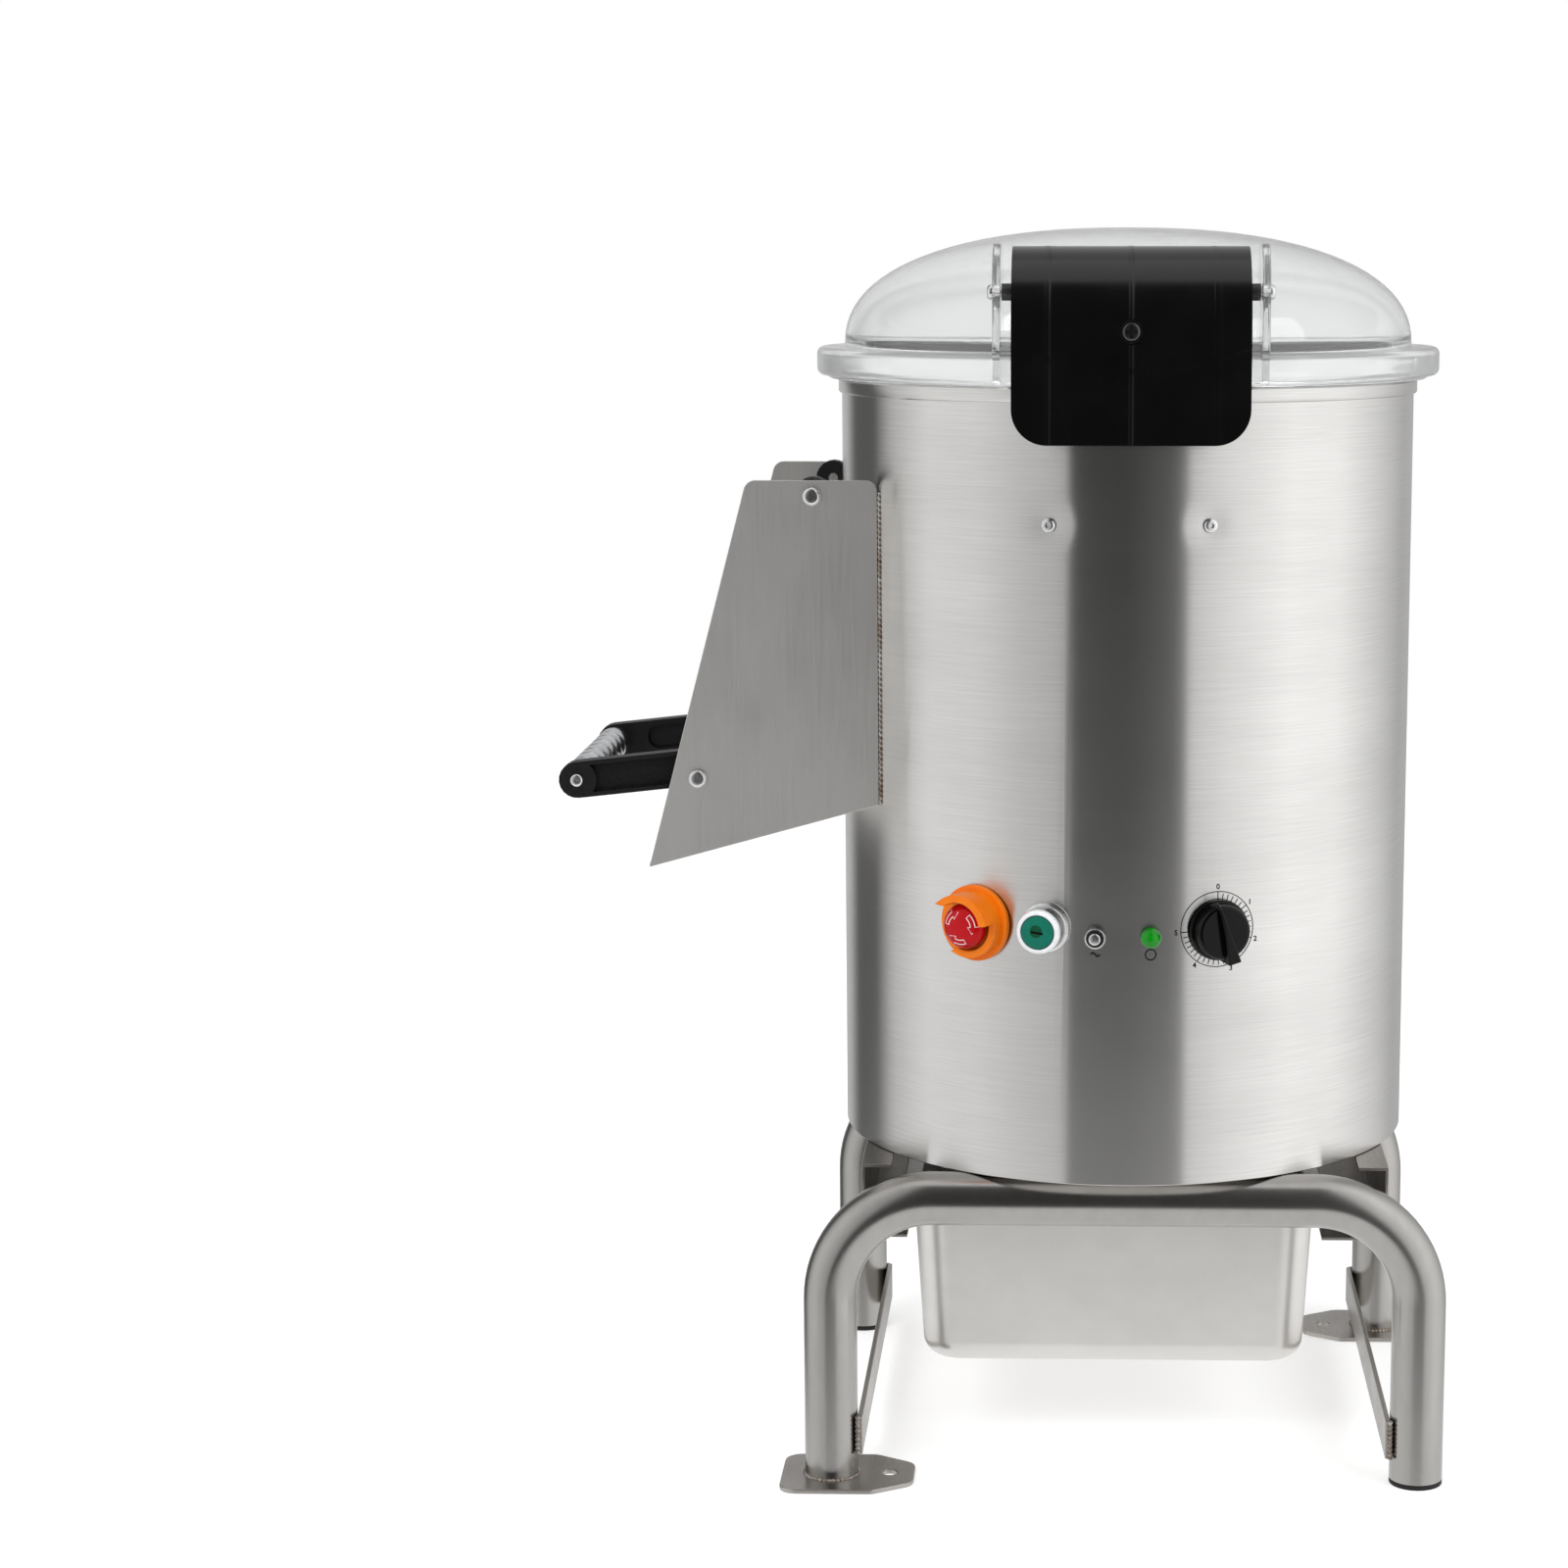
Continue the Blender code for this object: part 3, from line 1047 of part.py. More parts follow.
def add_lid(finishes, root, lid):
    """Clear dome with its flange, the leaf and the bracket of its hinge."""
    clear = finishes["clear plastic"]
    outside = flange_profile() + dome_curve(DOME_RADIUS, DOME_HEIGHT, DOME_BASE)
    inside = dome_curve(LID_BORE, DOME_HEIGHT - LID_WALL, DOME_BASE)[::-1]
    profile = outside[::-1] + [(LID_BORE, LID_BOTTOM)] + inside[::-1]
    piece("lid_dome", turned(profile, LID_SIDES), clear, lid)

    steel = finishes["satin steel"]
    bore = HINGE_PIN_RADIUS + BORE_CLEARANCE
    reach = LEAF_HALF_WIDTH + OVERRUN
    at = aimed((1, 0, 0), (0, HINGE_Y, HINGE_Z))
    cutter = turned([(bore, -reach), (bore, reach)], SMALL_SIDES)
    hinge_hole = guide("hinge_pin_bore", moved(cutter, at), steel, root)

    shelf = DRUM_TOP - BRACKET_SHELF_DROP
    wall = DRUM_RADIUS + GAP
    outline = [(wall, DRUM_TOP - BRACKET_FOOT_DROP), (wall, shelf),
               (HINGE_Y - KNUCKLE_RADIUS, shelf)]
    outline += arc((HINGE_Y, HINGE_Z), KNUCKLE_RADIUS, 180, 0, KNUCKLE_STEPS)
    outline.append((HINGE_Y + KNUCKLE_RADIUS, shelf))
    bracket = piece("hinge_bracket", prism(outline, -BRACKET_HALF_WIDTH, BRACKET_HALF_WIDTH, "YZ"),
                    steel, root)
    combine(bracket, hinge_hole)

    low = FLANGE_TOP + GAP
    top = low + LEAF_THICKNESS
    outline = arc((HINGE_Y, HINGE_Z), KNUCKLE_RADIUS, 180, 450, KNUCKLE_STEPS * 2)[:-1]
    outline += [(HINGE_Y, top), (FLANGE_RADIUS - LEAF_INSET, top), (FLANGE_RADIUS - LEAF_INSET, low),
                (HINGE_Y - KNUCKLE_RADIUS, low)]
    leaf = piece("lid_hinge_leaf", prism(outline, -LEAF_HALF_WIDTH, LEAF_HALF_WIDTH, "YZ"),
                 steel, lid)
    combine(leaf, hinge_hole)
    half = BRACKET_HALF_WIDTH + GAP
    notch = block((-half, FLANGE_RADIUS + GAP, HINGE_Z - 2 * KNUCKLE_RADIUS),
                  (half, HINGE_Y + 2 * KNUCKLE_RADIUS, top + OVERRUN))
    combine(leaf, guide("leaf_notch", notch, steel, lid))
    end = LEAF_HALF_WIDTH + PIN_END
    pin = turned([(HINGE_PIN_RADIUS, -end), (HINGE_PIN_RADIUS, end)], SMALL_SIDES)
    piece("hinge_pin", moved(pin, at), finishes["bright steel"], root)


def lever_ring(x):
    """The lever's section at one place across its width."""
    corner_start = LATCH_HALF_WIDTH - LATCH_CORNER
    into = max(0.0, abs(x) - corner_start)
    low = LATCH_LOW + LATCH_CORNER - math.sqrt(max(0.0, LATCH_CORNER ** 2 - into ** 2))
    rise = LATCH_TOP - LATCH_ARC_Z
    crown = (LATCH_FRONT + LATCH_CROWN_REACH, LATCH_ARC_Z)
    outer = arc(crown, LATCH_CROWN_REACH, 180, 90, LATCH_ARC_STEPS, rise)
    inner = arc(crown, LATCH_CROWN_REACH - LATCH_THICKNESS, 90, 180, LATCH_ARC_STEPS,
                rise - LATCH_THICKNESS)
    back = LATCH_FRONT + LATCH_THICKNESS
    section = [(LATCH_FRONT, low)] + outer + inner + [(back, low)]
    return [(x, y, z) for y, z in section]


def lever_middle(z):
    """Where the middle of the lever's wall stands at a height, for its lugs to start in it."""
    half = LATCH_THICKNESS / 2
    share = max(0.0, z - LATCH_ARC_Z) / (LATCH_TOP - LATCH_ARC_Z - half)
    reach = LATCH_CROWN_REACH - half
    return LATCH_FRONT + LATCH_CROWN_REACH - reach * math.sqrt(max(0.0, 1 - share ** 2))


def add_latch(finishes, lid, lever):
    """Moulded lever between two clear ears of the lid."""
    black = finishes["black plastic"]
    steel = finishes["bright steel"]
    flat = LATCH_HALF_WIDTH - LATCH_CORNER
    turns = [math.pi / 2 * k / LATCH_CORNER_STEPS for k in range(LATCH_CORNER_STEPS + 1)]
    right = [flat + LATCH_CORNER * math.sin(a) for a in turns]
    across = [-x for x in right[::-1]] + right
    plate = piece("latch_lever", skin([lever_ring(x) for x in across]), black, lever)

    reach = EAR_OUTER_FACE + OVERRUN
    bore = LATCH_PIN_RADIUS + BORE_CLEARANCE
    shape = turned([(bore, -reach), (bore, reach)], SMALL_SIDES)
    pivot = (0, LATCH_AXIS_Y, LATCH_AXIS_Z)
    pin_bore = guide("latch_pin_bore", moved(shape, aimed((1, 0, 0), pivot)), black, lever)
    lug = arc((LATCH_AXIS_Y, LATCH_AXIS_Z), LUG_HALF_HEIGHT, -90, 90, ARM_ROUND_STEPS)
    for k in range(ARM_ROUND_STEPS + 1):
        z = LATCH_AXIS_Z + LUG_HALF_HEIGHT * (1 - 2 * k / ARM_ROUND_STEPS)
        lug.append((lever_middle(z), z))
    for name, side in (("left", -1), ("right", 1)):
        faces = sorted((side * (LATCH_HALF_WIDTH - GAP), side * (LATCH_HALF_WIDTH - LUG_THICKNESS)))
        combine(plate, guide("latch_lug_" + name, prism(lug, *faces, "YZ"), black, lever), "UNION")
    combine(plate, pin_bore)
    shape = turned([(LATCH_SCREW_RECESS, -LATCH_SCREW_SINK), (LATCH_SCREW_RECESS, OVERRUN)],
                   SMALL_SIDES)
    at = aimed((0, -1, 0), (0, LATCH_FRONT, LATCH_ARC_Z))
    combine(plate, guide("latch_screw_recess", moved(shape, at), black, lever))

    front = -(FLANGE_RADIUS - EAR_FRONT_INSET)
    rear = -(FLANGE_RADIUS - EAR_BACK_INSET)
    top = FLANGE_BOTTOM + EAR_TOP_RISE
    corners = [(front, FLANGE_BOTTOM, 0), (front, top, EAR_ROUND), (rear, top, EAR_ROUND),
               (rear, FLANGE_BOTTOM, 0)]
    profile = flange_profile(GAP) + dome_curve(DOME_RADIUS + GAP, DOME_HEIGHT + GAP, DOME_BASE)
    lid_room = guide("lid_clearance", turned(profile, LID_SIDES), black, lid)
    for name, side in (("left", -1), ("right", 1)):
        faces = sorted((side * EAR_INNER_FACE, side * EAR_OUTER_FACE))
        ear = piece("latch_ear_" + name, prism(filleted(corners, 6), *faces, "YZ"),
                    finishes["clear plastic"], lid)
        combine(ear, lid_room)
        combine(ear, pin_bore)
        length = EAR_OUTER_FACE - LATCH_HALF_WIDTH + LUG_THICKNESS
        shape = screw_shape(LATCH_HEAD_RADIUS, LATCH_HEAD_HEIGHT, LATCH_PIN_RADIUS, length)
        at = aimed((side, 0, 0), (side * EAR_OUTER_FACE, LATCH_AXIS_Y, LATCH_AXIS_Z))
        piece("latch_pin_" + name, moved(shape, at), steel, lid)


def guard_outline(start, end):
    """Part of the ring round the stop button, drawn out to a beak where it ends."""
    outer = GUARD_INNER_RADIUS + GUARD_WALL
    tip = math.radians(end + math.copysign(GUARD_BEAK_LEAD, end - start))
    beak = outer + GUARD_BEAK
    outline = arc((0, 0), outer, start, end, GUARD_STEPS)
    outline.append((beak * math.cos(tip), beak * math.sin(tip)))
    return outline + arc((0, 0), GUARD_INNER_RADIUS, end, start, GUARD_STEPS)


def add_estop(finishes, place, button):
    """Guarded emergency stop: fixed shroud and a mushroom that pushes and twists."""
    orange = finishes["orange plastic"]
    bore = STEM_RADIUS + BORE_CLEARANCE
    top = GAP + SHROUD_BASE
    profile = [
        (bore, -SHROUD_DEPTH), (SWITCH_NECK_RADIUS, -SHROUD_DEPTH), (SWITCH_NECK_RADIUS, GAP),
        (SHROUD_RADIUS, GAP), (SHROUD_RADIUS, top), (bore, top),
    ]
    shroud = piece("estop_shroud", turned(profile, closed=True), orange, place, local=True)
    for name, angles, height in (("rail", RAIL_ANGLES, GUARD_HEIGHT), ("hood", HOOD_ANGLES, GUARD_HOOD_HEIGHT)):
        shape = prism(guard_outline(*angles), top - SHROUD_BASE / 2, height)
        combine(shroud, guide("estop_" + name, shape, orange, place, local=True), "UNION")

    under = MUSHROOM_RISE
    stem = turned([(STEM_RADIUS, -STEM_DEPTH), (STEM_RADIUS, under - GAP)], SMALL_SIDES)
    piece("estop_stem", stem, finishes["black plastic"], button, local=True)
    profile = [(MUSHROOM_RADIUS, under)]
    for across, up in MUSHROOM_CROWN_SHARES:
        profile.append((MUSHROOM_RADIUS * across, under + MUSHROOM_HEIGHT * up))
    twist = carrier("estop_twist", button)
    piece("estop_mushroom", turned(profile), finishes["red plastic"], twist, local=True)


def add_start(finishes, place, button):
    """Start button: a raised bezel and its green cap."""
    stem_bore = CAP_STEM_RADIUS + BORE_CLEARANCE
    face_bore = CAP_RADIUS + BEZEL_FACE_CLEARANCE
    profile = [
        (stem_bore, -SHROUD_DEPTH), (SWITCH_NECK_RADIUS, -SHROUD_DEPTH), (SWITCH_NECK_RADIUS, GAP),
        (BEZEL_RADIUS, GAP), (BEZEL_FRONT_RADIUS, BEZEL_HEIGHT - BEZEL_ROUND),
        (BEZEL_FRONT_RADIUS - BEZEL_ROUND, BEZEL_HEIGHT), (face_bore, BEZEL_HEIGHT),
        (face_bore, BEZEL_STEP), (stem_bore, BEZEL_STEP),
    ]
    piece("start_bezel", turned(profile, closed=True), finishes["white plastic"], place, local=True)
    top = BEZEL_HEIGHT + CAP_PROUD
    profile = [(CAP_STEM_RADIUS, -STEM_DEPTH), (CAP_STEM_RADIUS, CAP_RISE), (CAP_RADIUS, CAP_RISE),
               (CAP_RADIUS, BEZEL_HEIGHT), (CAP_RADIUS - CAP_PROUD, top)]
    piece("start_cap", turned(profile), finishes["green plastic"], button, local=True)


def add_reset(finishes, place, button):
    """Thermal reset: a small collar and its plunger."""
    bore = BUTTON_RADIUS + BORE_CLEARANCE
    profile = [
        (bore, -COLLAR_DEPTH), (COLLAR_NECK_RADIUS, -COLLAR_DEPTH), (COLLAR_NECK_RADIUS, GAP),
        (COLLAR_RADIUS, GAP), (COLLAR_RADIUS, COLLAR_HEIGHT), (bore, COLLAR_HEIGHT),
    ]
    piece("reset_collar", turned(profile, SMALL_SIDES, closed=True), finishes["bright steel"],
          place, local=True)
    top = COLLAR_HEIGHT + BUTTON_PROUD
    profile = [(BUTTON_RADIUS, -COLLAR_DEPTH / 2), (BUTTON_RADIUS, top - BUTTON_PROUD / 2),
               (BUTTON_RADIUS * BUTTON_FACE_SHARE, top)]
    piece("reset_button", turned(profile, SMALL_SIDES), finishes["bright steel"], button, local=True)


def add_lamp(finishes, place):
    """Running lamp: a green dome on a short base."""
    profile = [(LAMP_NECK_RADIUS, -LAMP_DEPTH), (LAMP_NECK_RADIUS, GAP), (LAMP_RADIUS, GAP),
               (LAMP_RADIUS, LAMP_BASE)]
    dome = arc((0, LAMP_BASE), LAMP_RADIUS, 0, LAMP_DOME_ANGLE, LAMP_DOME_STEPS,
               LAMP_HEIGHT - LAMP_BASE)
    piece("run_lamp", turned(profile + dome[1:], SMALL_SIDES), finishes["green lens"], place, local=True)


def add_timer(finishes, place, turn):
    """Timer behind the wall and its pointer knob in front."""
    bore = KNOB_SHAFT_RADIUS + BORE_CLEARANCE
    half = TIMER_BODY_HALF
    deep = TIMER_BODY_SET + TIMER_BODY_DEPTH
    body = piece("timer_body", block((-half, -half, -deep), (half, half, -TIMER_BODY_SET)),
                 finishes["white plastic"], place, local=True)
    hole = turned([(bore, -KNOB_SHAFT_DEPTH - GAP), (bore, OVERRUN)], SMALL_SIDES)
    combine(body, guide("timer_bore", hole, finishes["white plastic"], place, local=True))

    black = finishes["black plastic"]
    skirt = KNOB_LIFT + KNOB_SKIRT
    profile = [
        (KNOB_SHAFT_RADIUS, -KNOB_SHAFT_DEPTH), (KNOB_SHAFT_RADIUS, KNOB_LIFT),
        (KNOB_RADIUS, KNOB_LIFT), (KNOB_RADIUS, skirt), (KNOB_BODY_RADIUS, skirt),
        (KNOB_BODY_RADIUS, KNOB_HEIGHT * KNOB_SHOULDER_SHARE),
        (KNOB_BODY_RADIUS * KNOB_FACE_SHARE, KNOB_HEIGHT),
    ]
    knob = piece("timer_knob", turned(profile, ROUND_SIDES + SMALL_SIDES), black, turn, local=True)
    outline = [(-KNOB_BODY_RADIUS, -KNOB_WING_BACK_HALF), (KNOB_WING_TIP, -KNOB_WING_TIP_HALF),
               (KNOB_WING_TIP, KNOB_WING_TIP_HALF), (-KNOB_BODY_RADIUS, KNOB_WING_BACK_HALF)]
    wing = moved(prism(outline, skirt / 2, KNOB_WING_HEIGHT),
                 Matrix.Rotation(math.radians(KNOB_POINTS_TO), 4, "Z"))
    combine(knob, guide("knob_wing", wing, black, turn, local=True), "UNION")


def add_connections(finishes, root):
    """Cable gland and water inlet on the drum's back."""
    place = panel_frame(180, GLAND_Z)
    neck = GLAND_NECK_RADIUS
    profile = [
        (GLAND_BORE, -GLAND_DEPTH), (neck, -GLAND_DEPTH), (neck, GAP), (GLAND_NUT_RADIUS, GAP),
        (GLAND_NUT_RADIUS, GLAND_NUT_LENGTH), (GLAND_DOME_RADIUS, GLAND_NUT_LENGTH),
        (GLAND_DOME_RADIUS * GLAND_MOUTH_SHARE, GLAND_LENGTH), (GLAND_BORE, GLAND_LENGTH),
    ]
    piece("cable_gland", moved(turned(profile, closed=True), place), finishes["black plastic"], root)
    place = panel_frame(180, INLET_Z)
    neck = INLET_TAIL_RADIUS
    profile = [
        (INLET_BORE, -INLET_DEPTH), (neck, -INLET_DEPTH), (neck, GAP), (INLET_FLANGE_RADIUS, GAP),
        (INLET_FLANGE_RADIUS, INLET_FLANGE_LENGTH), (neck, INLET_FLANGE_LENGTH),
    ]
    for k in range(INLET_BARBS):
        base = INLET_FLANGE_LENGTH + INLET_BARB_PITCH * (k + 0.5)
        profile.append((neck, base))
        profile.append((neck + INLET_BARB, base))
        profile.append((neck, base + INLET_BARB_PITCH / 2))
    profile.append((INLET_BORE, profile[-1][1]))
    inlet = turned(profile, SMALL_SIDES, closed=True)
    piece("water_inlet", moved(inlet, place), finishes["bright steel"], root)


def build():
    """Make the whole peeler."""
    clear_scene()
    finishes = make_finishes()
    centre_x = (BOX_LEFT + BOX_RIGHT) / 2
    centre_y = (BOX_FRONT + BOX_BACK) / 2
    origin = carrier("origin")
    origin.location = (-centre_x, -centre_y, 0)
    root = carrier("peeler", origin)
    spot = Matrix.Translation
    spindle = carrier("spindle_axis", root, spot((0, 0, PULLEY_BOTTOM)))
    rotor = carrier("motor_axis", root, spot((0, MOTOR_Y, PULLEY_BOTTOM)))
    slide = carrier("pan_slide", root, spot((PAN_X, PAN_Y, PAN_RIM_BOTTOM)))
    swing = carrier("door_axis", root, spot((DOOR_AXIS_X, 0, DOOR_AXIS_Z)))
    lid = carrier("lid_axis", root, spot((0, HINGE_Y, HINGE_Z)))
    lever = carrier("latch_axis", root, spot((0, LATCH_AXIS_Y, LATCH_AXIS_Z)))
    places = {}
    for name, azimuth, height in (("estop", ESTOP_AZIMUTH, ESTOP_Z), ("start", START_AZIMUTH, START_Z),
                                  ("reset", RESET_AZIMUTH, RESET_Z), ("lamp", LAMP_AZIMUTH, LAMP_Z),
                                  ("timer", TIMER_AZIMUTH, TIMER_Z)):
        places[name] = carrier(name + "_place", root, panel_frame(azimuth, height))

    add_stand(finishes, root)
    add_drum(finishes, root, wall_holes(finishes, root))
    add_drive(finishes, root, spindle, rotor)
    add_pan(finishes, slide)
    add_chute(finishes, root)
    add_door(finishes, root, swing)
    add_lid(finishes, root, lid)
    add_latch(finishes, lid, lever)
    add_estop(finishes, places["estop"], carrier("estop_axis", places["estop"]))
    add_start(finishes, places["start"], carrier("start_axis", places["start"]))
    add_reset(finishes, places["reset"], carrier("reset_axis", places["reset"]))
    add_lamp(finishes, places["lamp"])
    add_timer(finishes, places["timer"], carrier("timer_axis", places["timer"]))
    add_connections(finishes, root)
    bpy.context.view_layer.update()


build()
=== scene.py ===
"""Looks of the electric potato peeler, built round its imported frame.

Metres, +Z up. Shapes are drawn in the drum's frame, whose Z axis is the drum's axis, and
DRUM_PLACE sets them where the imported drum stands. The controls face -Y, the chute is on -X.
"""
import json
import math

import bmesh
import bpy
from mathutils import Matrix, Vector

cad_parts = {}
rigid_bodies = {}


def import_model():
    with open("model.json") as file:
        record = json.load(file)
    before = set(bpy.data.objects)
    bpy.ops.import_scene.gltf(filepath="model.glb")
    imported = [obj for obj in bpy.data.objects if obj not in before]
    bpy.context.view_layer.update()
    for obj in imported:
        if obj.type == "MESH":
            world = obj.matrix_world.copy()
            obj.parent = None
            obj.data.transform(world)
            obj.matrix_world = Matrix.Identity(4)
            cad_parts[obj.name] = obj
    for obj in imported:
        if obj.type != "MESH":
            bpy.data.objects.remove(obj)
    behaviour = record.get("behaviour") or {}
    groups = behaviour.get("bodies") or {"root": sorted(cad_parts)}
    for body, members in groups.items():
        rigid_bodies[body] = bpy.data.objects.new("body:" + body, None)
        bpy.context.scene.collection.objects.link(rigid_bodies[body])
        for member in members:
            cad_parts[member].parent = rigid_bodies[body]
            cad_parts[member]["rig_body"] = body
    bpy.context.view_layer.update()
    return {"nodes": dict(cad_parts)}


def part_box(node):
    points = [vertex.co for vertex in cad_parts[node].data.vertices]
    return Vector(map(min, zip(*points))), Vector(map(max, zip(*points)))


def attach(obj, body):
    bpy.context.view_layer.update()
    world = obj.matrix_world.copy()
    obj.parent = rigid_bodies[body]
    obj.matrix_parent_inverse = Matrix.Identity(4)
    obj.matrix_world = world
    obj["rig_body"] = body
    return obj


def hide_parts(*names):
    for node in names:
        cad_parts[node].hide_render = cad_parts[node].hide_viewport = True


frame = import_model()
solids = frame["nodes"]

# Places and levels read from the frame
SHELL_LOW, SHELL_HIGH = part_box("drum_shell")
DRUM_X = (SHELL_LOW.x + SHELL_HIGH.x) / 2
DRUM_Y = (SHELL_LOW.y + SHELL_HIGH.y) / 2
DRUM_PLACE = Matrix.Translation((DRUM_X, DRUM_Y, 0))
DRUM_BOTTOM = SHELL_LOW.z
DRUM_TOP = SHELL_HIGH.z

# Sizes of the drum and its wall
RIM_RADIUS = (SHELL_HIGH.x - SHELL_LOW.x) / 2
DRUM_RADIUS = RIM_RADIUS - 0.002
DRUM_WALL = 0.0015
RIM_DEPTH = 0.0085
# Gap left between pieces that rest on each other
SEAT = 0.0003

# Camera, fitted to the photograph's edges
IMAGE_SIDE = 1600
CAMERA_AT = Vector((DRUM_X - 0.0240, DRUM_Y - 2.0653, 0.7265))
CAMERA_YAW = 1.524
CAMERA_PITCH = 9.661
CAMERA_LENS = 76.49
PRINCIPAL_POINT = (1019, 842.7)

# Edges blunter than this are shaded smooth
SMOOTH_ANGLE = math.radians(35)


def linear(code):
    """Linear RGBA of an sRGB hex colour."""
    channels = [int(code[i:i + 2], 16) / 255 for i in (1, 3, 5)]
    light = [c / 12.92 if c <= 0.04045 else ((c + 0.055) / 1.055) ** 2.4 for c in channels]
    return (*light, 1.0)


def feed(tree, node, inputs):
    """Give each of a node's inputs a value or another node's output."""
    for key, value in inputs.items():
        if isinstance(value, bpy.types.NodeSocket):
            tree.links.new(value, node.inputs[key])
        else:
            node.inputs[key].default_value = value


def add(tree, kind, inputs=None, **settings):
    """Add a node with its settings and inputs."""
    node = tree.nodes.new(kind)
    for name, value in settings.items():
        setattr(node, name, value)
    feed(tree, node, inputs or {})
    return node


def meshed(name, shape):
    """A mesh from a bmesh, which is used up."""
    mesh = bpy.data.meshes.new(name)
    shape.to_mesh(mesh)
    shape.free()
    return mesh


def linked(name, data):
    """A new object in the scene."""
    made = bpy.data.objects.new(name, data)
    bpy.context.collection.objects.link(made)
    return made


def surface(name):
    """A new material with its node tree and shader."""
    made = bpy.data.materials.new(name)
    made.use_nodes = True
    tree = made.node_tree
    return made, tree, tree.nodes["Principled BSDF"]


def pattern(tree, size_mm, detail=3.0, roughness=0.6):
    """Noise whose grains measure size_mm = (x, y, z) millimetres on the object."""
    place = add(tree, "ShaderNodeTexCoord")
    scale = [1000 / size for size in size_mm]
    laid = add(tree, "ShaderNodeMapping", {"Vector": place.outputs["Object"], "Scale": scale})
    noise = add(tree, "ShaderNodeTexNoise", {"Vector": laid.outputs["Vector"], "Scale": 1.0,
                                             "Detail": detail, "Roughness": roughness})
    return noise.outputs["Fac"]


def spread(tree, value, low, high, start=0.3, end=0.7):
    """The pattern's middle range mapped to values from low to high."""
    mapped = add(tree, "ShaderNodeMapRange", {"Value": value, "From Min": start, "From Max": end,
                                              "To Min": low, "To Max": high})
    return mapped.outputs["Result"]


def tinted(tree, value, dark, light):
    """A colour between two hex tones, following a pattern."""
    mixed = add(tree, "ShaderNodeMix", {0: value, 6: linear(dark), 7: linear(light)},
                data_type="RGBA")
    return mixed.outputs[2]


def relief(tree, height, depth_mm, strength):
    """The normal of a bump of a real depth."""
    bump = add(tree, "ShaderNodeBump", {"Strength": strength, "Distance": depth_mm / 1000,
                                        "Height": height})
    return bump.outputs["Normal"]


# The middle range of two noises added together, and how strongly a bump shows
BOTH_RANGE = (0.75, 1.25)
LINE_RELIEF = 0.25
GRAIN_RELIEF = 0.3


def rolled_steel(name, dark, light, rough, line_mm, patch_mm, depth_mm):
    """Stainless steel worked to fine lines: its tone and gloss vary from line to line and, more
    slowly, from patch to patch."""
    made, tree, shader = surface(name)
    lines = pattern(tree, line_mm)
    patches = pattern(tree, patch_mm, detail=2.0)
    both = add(tree, "ShaderNodeMath", {0: lines, 1: patches}, operation="ADD").outputs[0]
    tone = tinted(tree, spread(tree, both, 0, 1, *BOTH_RANGE), dark, light)
    feed(tree, shader, {"Base Color": tone, "Metallic": 1.0,
                        "Roughness": spread(tree, both, rough[1], rough[0], *BOTH_RANGE),
                        "Normal": relief(tree, lines, depth_mm, LINE_RELIEF)})
    return made, tree, shader


def belt_brushed_stainless():
    """Drum wall: 304 sheet brushed round its circumference. The lines spread each reflection up
    and down the wall and keep it narrow from side to side. They are drawn 0.6 mm apart, coarser
    than the real 0.1 mm, so that they show."""
    made, tree, shader = rolled_steel("belt_brushed_stainless", "#d2d1cf", "#dddcda",
                                      (0.20, 0.24), (45, 45, 0.6), (160, 160, 60), 0.006)
    around = add(tree, "ShaderNodeTangent", direction_type="RADIAL", axis="Z")
    feed(tree, shader, {"Tangent": around.outputs["Tangent"], "Anisotropic": 0.9,
                        "Anisotropic Rotation": 0.25})
    return made


def moulded_plastic(name, dark, light, rough, mottle_mm, grain_mm, depth_mm, shine):
    """An even colour with faint mottling and a fine grain, as on moulded or painted work."""
    made, tree, shader = surface(name)
    mottle = pattern(tree, (mottle_mm,) * 3, detail=2.0)
    grain = pattern(tree, (grain_mm,) * 3)
    feed(tree, shader, {"Base Color": tinted(tree, spread(tree, mottle, 0, 1), dark, light),
                        "Roughness": spread(tree, mottle, *rough), "Specular IOR Level": shine,
                        "Normal": relief(tree, grain, depth_mm, GRAIN_RELIEF)})
    return made


def clear_polycarbonate(name, transmission):
    """Lid and ears: moulded polycarbonate. The dome is nearly water-clear and the flange, which is
    looked through edgewise, is milky."""
    made, tree, shader = surface(name)
    ripple = pattern(tree, (40, 40, 40), detail=1.0)
    feed(tree, shader, {"Base Color": linear("#fbfcfc"), "IOR": 1.58,
                        "Roughness": spread(tree, ripple, 0.02, 0.05),
                        "Transmission Weight": transmission})
    return made


def lamp_lens():
    """Running lamp: a smooth green lens lit from behind, deep in colour and glossy."""
    made, tree, shader = surface("lit_green_lens")
    cloud = pattern(tree, (6, 6, 6), detail=1.0)
    glow = tinted(tree, spread(tree, cloud, 0, 1), "#02750a", "#058a10")
    feed(tree, shader, {"Base Color": glow, "Roughness": 0.08, "IOR": 1.45,
                        "Emission Color": glow, "Emission Strength": 0.08})
    return made


def bonded_grit():
    """Abrasive of the disc and liner: dark silicon carbide grains of about 1.5 mm in resin."""
    made, tree, shader = surface("bonded_grit")
    grains = pattern(tree, (1.5, 1.5, 1.5), detail=4.0, roughness=0.8)
    tone = tinted(tree, spread(tree, grains, 0, 1), "#2b2825", "#6a655f")
    feed(tree, shader, {"Base Color": tone, "Roughness": 0.85,
                        "Normal": relief(tree, grains, 0.6, 0.8)})
    return made


